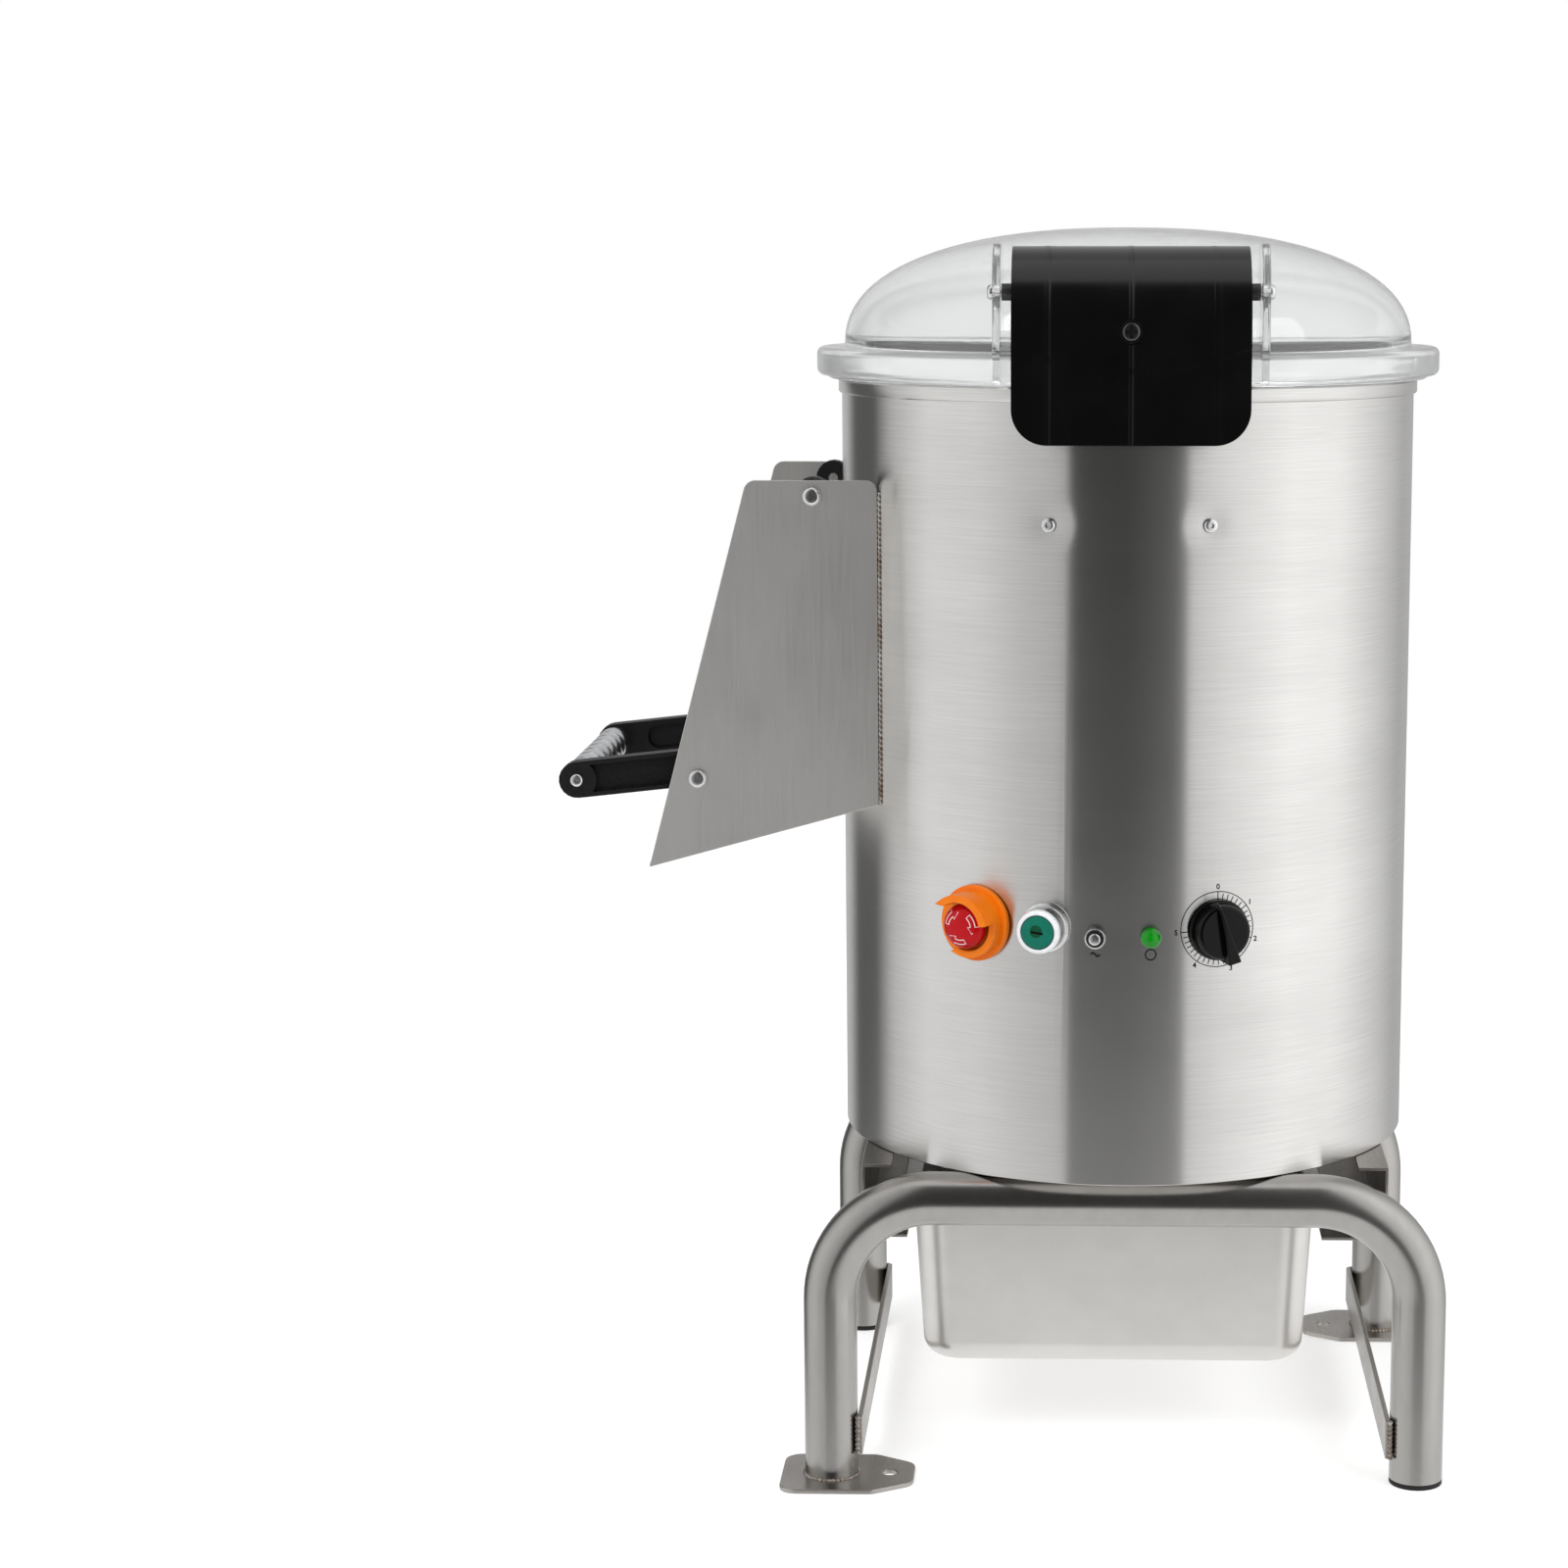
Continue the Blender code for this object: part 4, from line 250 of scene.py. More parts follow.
# Steels: name, dark and light tone, range of roughness, size of the lines and of the patches in
# millimetres, depth of the lines in millimetres
STEELS = {
    # Chute and door: sheet brushed along its height, duller than the drum, with soft upright lines
    # drawn 0.8 mm apart
    "sheet": ("sheet_brushed_stainless", "#e4e2df", "#eeece9", (0.42, 0.50),
              (0.8, 0.8, 40), (60, 60, 90), 0.008),
    # Bent tube: satin polish, even and smooth, with faint cloudy marks from handling
    "tube": ("satin_tube_stainless", "#acaaa7", "#b3b1ae", (0.24, 0.27),
             (9, 9, 30), (80, 80, 120), 0.0003),
    # Pan and small pressings: deep-drawn sheet with a fine, even satin
    "pressed": ("pressed_stainless", "#dfddda", "#e3e1de", (0.30, 0.32),
                (14, 14, 10), (90, 90, 60), 0.0005),
    # Foot plates and straps: laser-cut flat stock with a slightly duller, warmer mill finish
    "flat": ("cut_edge_stainless", "#aeaaa5", "#b9b5b0", (0.30, 0.38),
             (1.2, 8, 1.2), (60, 60, 40), 0.005),
    # Screws, pins and collars: turned and tumbled A2 steel, satin-bright with faint scuffs
    "fastener": ("polished_fastener_steel", "#dcdcdc", "#ececec", (0.24, 0.32),
                 (1.5, 1.5, 1.5), (6, 6, 6), 0.004),
    # Grip: drawn and bright-anodised aluminium, whiter than the steel, with a satin sheen
    "grip": ("ribbed_bright_aluminium", "#d4d6d9", "#eceef0", (0.18, 0.28),
             (0.9, 14, 0.9), (20, 20, 20), 0.006),
    # Weld bead: solid steel with a faint brown heat tint between pale ripples
    "weld": ("heat_tinted_weld", "#8c7a6c", "#c6c1ba", (0.30, 0.50),
             (2.2, 2.2, 2.2), (9, 9, 9), 0.05),
    # Pulleys and bearing housing: fine-turned grey cast iron
    "iron": ("turned_cast_iron", "#4c4c4b", "#6d6c6a", (0.45, 0.60),
             (2.0, 2.0, 0.8), (12, 12, 12), 0.05),
}

# Moulded, painted and printed: name, dark and light tone, range of roughness, then in millimetres
# the size of the mottling and of the grain and the grain's depth, and the specular level
MOULDED = {
    # Latch: glossy black ABS, near black with a soft broad gloss
    "latch": ("glossy_black_abs", "#040405", "#070708", (0.20, 0.25), 40, 0.8, 0.01, 0.50),
    # Latch screw: blacked steel, satin
    "blacked": ("blacked_steel", "#131314", "#1e1e20", (0.10, 0.18), 3, 0.8, 0.01, 0.90),
    # Arms: glass-filled nylon, charcoal and dull with a speckled grain
    "arm": ("glass_filled_nylon", "#0c0c0d", "#151516", (0.40, 0.50), 2, 0.6, 0.03, 0.35),
    # Knob: black phenolic, satin
    "knob": ("black_phenolic", "#030303", "#060606", (0.13, 0.18), 12, 0.8, 0.01, 0.22),
    # Guard: orange polyamide, half-gloss
    "guard": ("orange_polyamide", "#ea7204", "#ee7e0a", (0.32, 0.38), 12, 0.8, 0.01, 0.25),
    # Mushroom head: red ABS, glossy
    "stop": ("red_abs", "#ae0410", "#b90714", (0.16, 0.20), 12, 0.8, 0.01, 0.20),
    # Start cap: teal-green polycarbonate-ABS, satin
    "start": ("green_pc_abs", "#106a58", "#13715f", (0.30, 0.36), 5, 0.8, 0.01, 0.15),
    # Mark on the start cap: a darker green, pad-printed
    "start_mark": ("dark_green_pad_ink", "#04472b", "#074f33", (0.35, 0.45), 3, 0.8, 0.01, 0.15),
    # Bezel: white polyamide, half-gloss
    "bezel": ("white_polyamide", "#e3e6e9", "#f3f5f6", (0.22, 0.32), 4, 0.8, 0.01, 0.50),
    # Feet, belt and seal: EPDM rubber, black and dull
    "rubber": ("epdm_rubber", "#121212", "#232323", (0.65, 0.80), 4, 0.7, 0.05, 0.50),
    # Motor: grey-blue enamel over a casting
    "paint": ("motor_enamel", "#2b3338", "#38424a", (0.35, 0.50), 8, 1.2, 0.05, 0.50),
    # Markings: black screen-printing ink, dull against the steel
    "ink": ("screen_ink", "#060606", "#0c0c0c", (0.45, 0.60), 2, 0.8, 0.01, 0.10),
    # Arrows on the stop button: pale pad-printed ink
    "pale_ink": ("pale_pad_ink", "#f0dcdc", "#fbeeee", (0.35, 0.50), 2, 0.8, 0.01, 0.50),
}
CLEAR_TRANSMISSION = 0.94
MILKY_TRANSMISSION = 0.70


def make_finishes():
    """Every finish by the piece-maker's name for it."""
    made = {"drum": belt_brushed_stainless(), "lens": lamp_lens(), "grit": bonded_grit(),
            "clear": clear_polycarbonate("clear_polycarbonate", CLEAR_TRANSMISSION),
            "milky": clear_polycarbonate("milky_polycarbonate", MILKY_TRANSMISSION)}
    made.update({key: rolled_steel(*values)[0] for key, values in STEELS.items()})
    made.update({key: moulded_plastic(*values) for key, values in MOULDED.items()})
    return made


def white_for_view(tree):
    """1 where the camera looks, straight, by reflection or through the lid; 0 for other light."""
    path = add(tree, "ShaderNodeLightPath")
    seen = add(tree, "ShaderNodeMath", {0: path.outputs["Is Camera Ray"],
                                        1: path.outputs["Is Glossy Ray"]}, operation="MAXIMUM")
    return add(tree, "ShaderNodeMath", {0: seen.outputs[0], 1: path.outputs["Is Transmission Ray"]},
               operation="MAXIMUM").outputs[0]


# Surround, floor and light wall
SURROUND_LIGHT = 0.72
FLOOR_RADIUS = 3.2
FLOOR_LIFT = 0.42
WALL_RADIUS = 2.6
WALL_BOTTOM = -0.80
WALL_TOP = 7.0
WALL_STEPS = 360
GROUND_LIGHT = 0.95
# Degrees from the camera's side towards +X, and brightness
WALL_LIGHT = (
    (-180, 0.60), (-150, 0.50), (-138, 0.12), (-118, 0.12), (-106, 0.60), (-84, 0.92), (-60, 0.86),
    (-40, 0.66), (-23, 0.54), (-22, 0.05), (0, 0.03), (17, 0.09), (22.5, 0.20), (23.5, 0.74),
    (40, 1.0), (66, 1.28), (90, 1.22), (116, 0.86), (140, 0.52), (165, 0.45), (180, 0.60),
)
# Lamps: name, place, side of the square and watts
LAMPS = (("key_lamp", (-1.2, -1.6, 2.2), 1.4, 26), ("fill_lamp", (1.9, -1.2, 1.5), 1.4, 16))


def set_world():
    """A plain white surround, a little dimmer as light than as a background."""
    world = bpy.data.worlds.new("pale_studio")
    world.use_nodes = True
    bpy.context.scene.world = world
    tree = world.node_tree
    seen = white_for_view(tree)
    level = add(tree, "ShaderNodeMapRange", {"Value": seen, "To Min": SURROUND_LIGHT})
    feed(tree, tree.nodes["Background"], {"Color": (1, 1, 1, 1),
                                          "Strength": level.outputs["Result"]})


def light_wall():
    """A ring of light walls and a light ground that only reflections see: bright to both sides of
    the camera, with the dark gap that the camera stands in."""
    made = bpy.data.materials.new("light_wall_cloth")
    made.use_nodes = True
    tree = made.node_tree
    tree.nodes.clear()
    level = add(tree, "ShaderNodeAttribute", attribute_name="brightness")
    glow = add(tree, "ShaderNodeEmission", {"Strength": level.outputs["Fac"]})
    add(tree, "ShaderNodeOutputMaterial", {"Surface": glow.outputs[0]})
    shape = bmesh.new()
    angles = [-180 + 360 * k / WALL_STEPS for k in range(WALL_STEPS + 1)]
    columns = []
    for angle in angles:
        turn = math.radians(angle)
        x = DRUM_X + WALL_RADIUS * math.sin(turn)
        y = DRUM_Y - WALL_RADIUS * math.cos(turn)
        columns.append((shape.verts.new((x, y, WALL_BOTTOM)), shape.verts.new((x, y, WALL_TOP))))
    for near, far in zip(columns, columns[1:]):
        shape.faces.new((near[0], far[0], far[1], near[1]))
    ground = [shape.verts.new(foot.co) for foot, head in columns[:-1]]
    shape.faces.new(ground)
    mesh = meshed("light_wall", shape)
    levels = []
    for angle in angles:
        levels += [wall_level(angle)] * 2
    levels += [GROUND_LIGHT] * len(ground)
    mesh.attributes.new("brightness", "FLOAT", "POINT").data.foreach_set("value", levels)
    mesh.materials.append(made)
    wall = linked("light_wall", mesh)
    for ray in ("camera", "diffuse", "transmission", "volume_scatter", "shadow"):
        setattr(wall, "visible_" + ray, False)


def wall_level(angle):
    """Brightness of the light wall at an angle, straight between its stops."""
    for (start, low), (end, high) in zip(WALL_LIGHT, WALL_LIGHT[1:]):
        if angle <= end:
            return low + (high - low) * (angle - start) / (end - start)
    return WALL_LIGHT[-1][1]


def set_floor():
    """A pale floor that reads white where nothing shades it and keeps the object's shadow."""
    made, tree, shader = surface("pale_floor")
    wear = pattern(tree, (300, 300, 300), detail=2.0)
    lift = add(tree, "ShaderNodeMath", {0: white_for_view(tree), 1: FLOOR_LIFT},
               operation="MULTIPLY")
    feed(tree, shader, {"Base Color": tinted(tree, spread(tree, wear, 0, 1), "#ededed", "#f2f2f2"),
                        "Roughness": 0.9, "Specular IOR Level": 0.0,
                        "Emission Color": (1, 1, 1, 1), "Emission Strength": lift.outputs[0]})
    bpy.ops.mesh.primitive_circle_add(vertices=96, radius=FLOOR_RADIUS, fill_type="NGON",
                                      location=(DRUM_X, DRUM_Y, 0))
    floor = bpy.context.object
    floor.name = "floor"
    floor.data.materials.append(made)
    floor.visible_glossy = False


def softbox(name, at, size, watts):
    """A square lamp that faces the drum's middle."""
    light = bpy.data.lights.new(name, "AREA")
    light.energy = watts
    light.size = size
    lamp = linked(name, light)
    lamp.location = at
    towards = Vector((DRUM_X, DRUM_Y, (DRUM_BOTTOM + DRUM_TOP) / 2)) - Vector(at)
    lamp.rotation_euler = towards.to_track_quat("-Z", "Y").to_euler()
    lamp.visible_glossy = False


def set_camera():
    """The photograph's viewpoint."""
    lens = bpy.data.cameras.new("camera")
    lens.lens = CAMERA_LENS
    lens.shift_x = -(PRINCIPAL_POINT[0] / IMAGE_SIDE - 0.5)
    lens.shift_y = PRINCIPAL_POINT[1] / IMAGE_SIDE - 0.5
    camera = linked("camera", lens)
    camera.location = CAMERA_AT
    camera.rotation_euler = (math.radians(90 - CAMERA_PITCH), 0, math.radians(CAMERA_YAW))
    bpy.context.scene.camera = camera


def set_studio():
    """Camera, surround, floor and lamps."""
    bpy.context.scene.view_settings.view_transform = "Standard"
    set_camera()
    set_world()
    set_floor()
    light_wall()
    for values in LAMPS:
        softbox(*values)


set_studio()
finishes = make_finishes()

SIDES = (("left", -1), ("right", 1))
ENDS = (("front", -1), ("rear", 1))


def piece(name, shape, finish, node, beside=False, place=DRUM_PLACE, bevel=0.0,
          sharp=SMOOTH_ANGLE):
    """Make an object from a bmesh drawn in its own frame. Its body is that of a frame solid, which
    it replaces unless it is only beside it."""
    mesh = meshed(name, shape)
    mesh.transform(place)
    mesh.materials.append(finishes[finish])
    mesh.shade_smooth()
    mesh.set_sharp_from_angle(angle=sharp)
    made = linked(name, mesh)
    if bevel:
        edge = made.modifiers.new("eased_edges", "BEVEL")
        edge.width = bevel
        edge.segments = 2
        edge.limit_method = "ANGLE"
        edge.angle_limit = SMOOTH_ANGLE
        edge.harden_normals = True
    solid = solids[node]
    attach(made, solid["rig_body"])
    if not beside:
        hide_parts(node)
    return made


def cut(target, shape, place=DRUM_PLACE, operation="DIFFERENCE"):
    """Cut a shape out of a piece, or join it on, once and for good, before its edges are eased."""
    tool = linked("cutter", meshed("cutter", shape))
    tool.data.transform(place)
    step = target.modifiers.new("cut", "BOOLEAN")
    step.operation = operation
    step.solver = "EXACT"
    step.object = tool
    with bpy.context.temp_override(object=target, active_object=target):
        bpy.ops.object.modifier_move_to_index(modifier="cut", index=0)
        bpy.ops.object.modifier_apply(modifier="cut")
    bpy.data.objects.remove(tool)
    target.data.shade_smooth()
    target.data.set_sharp_from_angle(angle=SMOOTH_ANGLE)


def dress(name, finish, bevel=0.0):
    """A piece with the frame solid's own shape, its facets smoothed and its edges eased."""
    shape = bmesh.new()
    shape.from_mesh(solids[name].data)
    bmesh.ops.remove_doubles(shape, verts=shape.verts, dist=1e-6)
    bmesh.ops.dissolve_limit(shape, angle_limit=math.radians(0.5), verts=shape.verts,
                             edges=shape.edges)
    return piece(name + "_dressed", shape, finish, name, place=Matrix.Identity(4), bevel=bevel)


def evaluated(*made):
    """The first object's final shape as a bmesh; all of them are then removed."""
    view = bpy.context.evaluated_depsgraph_get()
    shape = bmesh.new()
    shape.from_mesh(made[0].evaluated_get(view).to_mesh())
    for thing in made:
        bpy.data.objects.remove(thing)
    return shape


def skin(rings, closed=False):
    """Bridge equal loops of points, with end caps unless the last meets the first."""
    shape = bmesh.new()
    loops = [[shape.verts.new(point) for point in ring] for ring in rings]
    pairs = list(zip(loops, loops[1:]))
    if closed:
        pairs.append((loops[-1], loops[0]))
    else:
        shape.faces.new(loops[0])
        shape.faces.new(loops[-1])
    for near, far in pairs:
        for i in range(len(near)):
            j = (i + 1) % len(near)
            shape.faces.new((near[i], near[j], far[j], far[i]))
    bmesh.ops.recalc_face_normals(shape, faces=shape.faces)
    return shape


def arc(centre, radius, start, end, steps, rise=None):
    """Points on a circle, or on an ellipse of another rise, between two angles in degrees."""
    rise = radius if rise is None else rise
    angles = [math.radians(start + (end - start) * k / steps) for k in range(steps + 1)]
    return [(centre[0] + radius * math.cos(a), centre[1] + rise * math.sin(a)) for a in angles]


def circle(radius, sides, centre=(0, 0)):
    """Points once round a circle."""
    return arc(centre, radius, 0, 360, sides)[:-1]


def turned(profile, sides=48, closed=False):
    """Turn an outline of (radius, height) points about Z."""
    return skin([[(*point, z) for point in circle(r, sides)] for r, z in profile], closed)


def tube(inner, outer, low, high, sides):
    """A plain round tube."""
    return turned([(inner, low), (outer, low), (outer, high), (inner, high)], sides, closed=True)


def prism(outline, low, high, plane="XY"):
    """Extrude an outline drawn in a plane from one depth to another."""
    order = {"XY": (0, 1, 2), "XZ": (0, 2, 1), "YZ": (2, 0, 1)}[plane]
    return skin([[[(*point, depth)[i] for i in order] for point in outline]
                 for depth in (low, high)])


def filleted(corners, steps=8):
    """An outline through corners (across, up, radius), each rounded by its radius."""
    outline = []
    for i, (across, up, radius) in enumerate(corners):
        here = Vector((across, up))
        if radius == 0:
            outline.append((across, up))
            continue
        back = (Vector(corners[i - 1][:2]) - here).normalized()
        ahead = (Vector(corners[(i + 1) % len(corners)][:2]) - here).normalized()
        half = back.angle(ahead) / 2
        reach = radius / math.tan(half)
        centre = here + (back + ahead).normalized() * (radius / math.sin(half))
        start = (here + back * reach - centre).normalized()
        end = (here + ahead * reach - centre).normalized()
        for k in range(steps + 1):
            outline.append(tuple(centre + start.slerp(end, k / steps) * radius))
    return outline


def rectangle(half_width, low, high, corner=0, steps=8):
    """The outline of a rectangle, with its corners rounded by a radius."""
    return filleted([(-half_width, low, corner), (half_width, low, corner),
                     (half_width, high, corner), (-half_width, high, corner)], steps)


def merged(*shapes):
    """Several shapes as one bmesh, each a body of its own."""
    whole = bmesh.new()
    for shape in shapes:
        mesh = meshed("part", shape)
        whole.from_mesh(mesh)
        bpy.data.meshes.remove(mesh)
    return whole


def moved(shape, matrix):
    """The same shape after a transform."""
    shape.transform(matrix)
    return shape


def aimed(direction, at):
    """A transform that stands at a point with its Z axis along a direction."""
    turn = Vector((0, 0, 1)).rotation_difference(Vector(direction))
    return Matrix.Translation(at) @ turn.to_matrix().to_4x4()


def panel_frame(azimuth, height):
    """A transform on the drum's wall: Z out of it, Y up, X to the viewer's right."""
    turn = math.radians(azimuth)
    out = Vector((math.sin(turn), -math.cos(turn), 0))
    right = Vector((math.cos(turn), math.sin(turn), 0))
    matrix = Matrix((right, (0, 0, 1), out)).transposed().to_4x4()
    matrix.translation = out * DRUM_RADIUS + Vector((0, 0, height))
    return matrix


# Weld beads: radius of the wire, share by which the ripples swell it, their pitch
FOOT_BEAD = (0.0012, 0.18, 0.0024)
STRAP_BEAD = (0.0015, 0.20, 0.0028)
DRUM_BEAD = (0.0013, 0.20, 0.0030)
CHUTE_BEAD = (0.0011, 0.22, 0.0032)
BEAD_SIDES = 10
RIPPLE_STEPS = 6


def bead(start, end, steps, wire, lumps, pitch):
    """A straight weld bead between two points."""
    start, end = Vector(start), Vector(end)
    side = (end - start).orthogonal().normalized()
    other = (end - start).normalized().cross(side)
    rings = []
    for k in range(steps + 1):
        point = start.lerp(end, k / steps)
        size = wire * (1 + lumps * math.sin(2 * math.pi * (point - start).length / pitch))
        rings.append([point + side * x + other * y for x, y in circle(size, BEAD_SIDES)])
    return skin(rings)


def ring_bead(radius, wire, lumps, pitch):
    """A weld bead that runs once round a tube."""
    steps = max(48, int(2 * math.pi * radius / pitch * RIPPLE_STEPS))
    rings = []
    for k in range(steps):
        turn = 2 * math.pi * k / steps
        size = wire * (1 + lumps * math.sin(radius * turn * 2 * math.pi / pitch))
        out = Vector((math.cos(turn), math.sin(turn), 0))
        rings.append([out * (radius + x) + Vector((0, 0, z)) for x, z in circle(size, BEAD_SIDES)])
    return skin(rings, closed=True)


def weld(name, shape, node):
    """A weld bead beside a solid of the stand."""
    piece(name, shape, "weld", node, beside=True)


# Screw heads: shares of the head's radius and height
HEAD_CROWN = 0.45
HEAD_EDGE = 0.25
HEAD_FLAT = 0.40
SOCKET_RADIUS = 0.38
SOCKET_FLOOR = 0.35
CROSS_LENGTH = 0.62
CROSS_WIDTH = 0.17
CROSS_FLOOR = 0.30


def button_head(radius, height):
    """A domed screw head standing on its seat."""
    crown = radius * HEAD_CROWN
    edge = height * HEAD_EDGE
    profile = [(radius, SEAT)]
    profile += arc((radius - crown, SEAT + edge), crown, 0, 80, 6, height - edge)
    profile.append((radius * HEAD_FLAT, SEAT + height))
    return turned(profile, 32)


def recessed(radius, height, outline, floor):
    """A button head with a drive recess of an outline, from its top down to its floor."""
    shapes = (button_head(radius, height), prism(outline, SEAT + height * floor, 2 * height))
    head, cutter = [linked("screw", meshed("screw", shape)) for shape in shapes]
    step = head.modifiers.new("recess", "BOOLEAN")
    step.solver = "EXACT"
    step.object = cutter
    return evaluated(head, cutter)


def cross_screw(radius, height):
    """A pan head with a cross recess."""
    long, short = radius * CROSS_LENGTH, radius * CROSS_WIDTH
    outline = []
    for along, aside in ((1, 0), (0, 1), (-1, 0), (0, -1)):
        outline += [(x * along - y * aside, x * aside + y * along)
                    for x, y in ((long, -short), (long, short), (short, short))]
    return recessed(radius, height, outline, CROSS_FLOOR)


def bolt(name, sizes, at, node):
    """A hexagon socket bolt: head radius and height, shank radius and length."""
    radius, height, shank_radius, shank_length = sizes
    head = recessed(radius, height, circle(radius * SOCKET_RADIUS, 6), SOCKET_FLOOR)
    shank = turned([(shank_radius, -shank_length), (shank_radius, SEAT)], 24)
    piece(name, moved(merged(head, shank), at), "fastener", node)


# Pieces that keep their solid's shape, by finish and width of the eased edge
KEPT_SHAPES = (
    ("flat", 0.0007, ("foot_plate_front_left", "foot_plate_rear_right")),
    ("flat", 0.0006, ("side_strap_left", "side_strap_right", "lid_hinge_leaf", "hinge_bracket")),
    ("flat", 0.0004, ("pan_runner_left", "pan_runner_right")),
    ("rubber", 0.0006, ("foot_cap_front_right", "foot_cap_rear_left")),
    ("rubber", 0.0004, ("drive_belt",)),
    ("rubber", 0.0, ("door_seal",)),
    ("pressed", 0.0, ("base_plate", "chamber_floor", "drain_spout")),
    ("grit", 0.0, ("abrasive_liner",)),
    ("grit", 0.0008, ("abrasive_disc",)),
    ("iron", 0.0004, ("spindle_pulley", "motor_pulley", "bearing_housing")),
    ("fastener", 0.0004, ("spindle_shaft",)),
    ("fastener", 0.0006, ("hinge_pin",)),
    ("fastener", 0.0003, ("water_inlet",)),
    ("paint", 0.0010, ("motor_body",)),
    ("clear", 0.0006, ("latch_ear_left", "latch_ear_right")),
    ("sheet", 0.0, ("chute_floor",)),
    ("sheet", 0.0005, ("door_panel",)),
    ("latch", 0.0, ("estop_stem",)),
    ("latch", 0.0005, ("cable_gland",)),
    ("bezel", 0.0008, ("timer_body",)),
)

# Tubular stand
TUBE_RADIUS = 0.016
TUBE_WALL = 0.0015
TUBE_SIDES = 48
BEND_RADIUS = 0.062
BEND_STEPS = 20
BAR_Z = DRUM_BOTTOM - SEAT - TUBE_RADIUS
LEG_X = 0.176
LEG_Y = 0.1465
FOOT_PLATE = 0.003
STRAP_LOW = 0.017
STRAP_HIGH = 0.041
STRAP_WELD_OUT = 0.008
DRUM_WELD_X = 0.052
DRUM_WELD_HALF = 0.016


def frame_tube(y):
    """One bent tube: two legs and the bar under the drum."""
    bend_x = LEG_X - BEND_RADIUS
    bend_z = BAR_Z - BEND_RADIUS
    foot = FOOT_PLATE + SEAT
    path = [(-LEG_X, foot)]
    path += arc((-bend_x, bend_z), BEND_RADIUS, 180, 90, BEND_STEPS)
    path += arc((bend_x, bend_z), BEND_RADIUS, 90, 0, BEND_STEPS)
    path.append((LEG_X, foot))
    bend = [90 - 90 * k / BEND_STEPS for k in range(BEND_STEPS + 1)]
    turns = [90] + bend + [turn - 90 for turn in bend] + [-90]

    def loop(point, heading, radius):
        lean = math.radians(heading)
        side = Vector((-math.sin(lean), 0, math.cos(lean)))
        middle = Vector((point[0], y, point[1]))
        return [middle + side * up + Vector((0, across, 0))
                for up, across in circle(radius, TUBE_SIDES)]

    outside = [loop(p, t, TUBE_RADIUS) for p, t in zip(path, turns)]
    inside = [loop(p, t, TUBE_RADIUS - TUBE_WALL) for p, t in zip(path, turns)]
    return skin(outside + inside[::-1], closed=True)


def dress_stand():
    """The bent tubes, and the beads that join them to the drum, the straps and the foot plates."""
    for end, back in ENDS:
        y = back * LEG_Y
        piece(end + "_tube_polished", frame_tube(y), "tube", end + "_frame_tube")
        for hand, side in SIDES:
            x, top = side * DRUM_WELD_X, BAR_Z + TUBE_RADIUS
            weld("drum_weld_{}_{}".format(end, hand),
                 bead((x - DRUM_WELD_HALF, y, top), (x + DRUM_WELD_HALF, y, top), 48, *DRUM_BEAD),
                 end + "_frame_tube")
            x, edge = side * (LEG_X - TUBE_RADIUS - SEAT), back * (LEG_Y + STRAP_WELD_OUT)
            weld("strap_weld_{}_{}".format(hand, end),
                 bead((x, edge, STRAP_LOW), (x, edge, STRAP_HIGH), 40, *STRAP_BEAD),
                 "side_strap_" + hand)
            if side == back:
                leg = "{}_{}".format(end, hand)
                foot = Matrix.Translation((side * LEG_X, y, FOOT_PLATE))
                weld("foot_weld_" + leg, moved(ring_bead(TUBE_RADIUS, *FOOT_BEAD), foot),
                     "foot_plate_" + leg)


# Drum
WALL_SIDES = 240
DIMPLE_DEPTH = 0.0011
DIMPLE_SPREAD = 0.0085
DIMPLE_STEP = 0.003
LINER_SCREW_AZIMUTH = 15.3
LINER_SCREW_Z = DRUM_BOTTOM + 0.3862
LINER_BOLT = (0.0042, 0.0026, 0.0020, 0.0060)
DRUM_EDGE = 0.0004
# The rolled rim's rounds: how far inside its radius, and how far above its foot or below its top
RIM_FOOT_ROUND = ((0.0016, 0.0), (0.0006, 0.0002), (0.0, 0.0012))
RIM_TOP_ROUND = ((0.0, 0.0012), (0.0008, 0.0002), (0.0016, 0.0))
OPENING_HALF_WIDTH = 0.080
OPENING_LOW = 0.4160
OPENING_HIGH = 0.5760
OPENING_CORNER = 0.006
# Each control's angle round the drum and its height, and the radius of its hole
CONTROLS = {"estop": (-30.0, 0.3434), "start": (-15.5, 0.3443), "reset": (-6.0, 0.3388),
            "lamp": (4.5, 0.3392), "timer": (17.5, 0.3430)}
HOLE_RADII = {"estop": 0.0113, "start": 0.0113, "reset": 0.0053, "lamp": 0.0044, "timer": 0.0034}
BACK_HOLES = (DRUM_BOTTOM + 0.040, DRUM_BOTTOM + 0.350)
BACK_HOLE_RADIUS = 0.0082
CUT_REACH = 0.012


def wall_point(azimuth, radius, z):
    """A point of the drum's wall, drawn in where a liner screw pulls on the sheet."""
    pull = 0.0
    for screw in (-LINER_SCREW_AZIMUTH, LINER_SCREW_AZIMUTH):
        away = math.radians((azimuth - screw + 180) % 360 - 180) * radius
        distance = math.hypot(away, z - LINER_SCREW_Z)
        pull += DIMPLE_DEPTH * math.exp(-(distance / DIMPLE_SPREAD) ** 2)
    turn = math.radians(azimuth)
    return ((radius - pull) * math.sin(turn), -(radius - pull) * math.cos(turn), z)


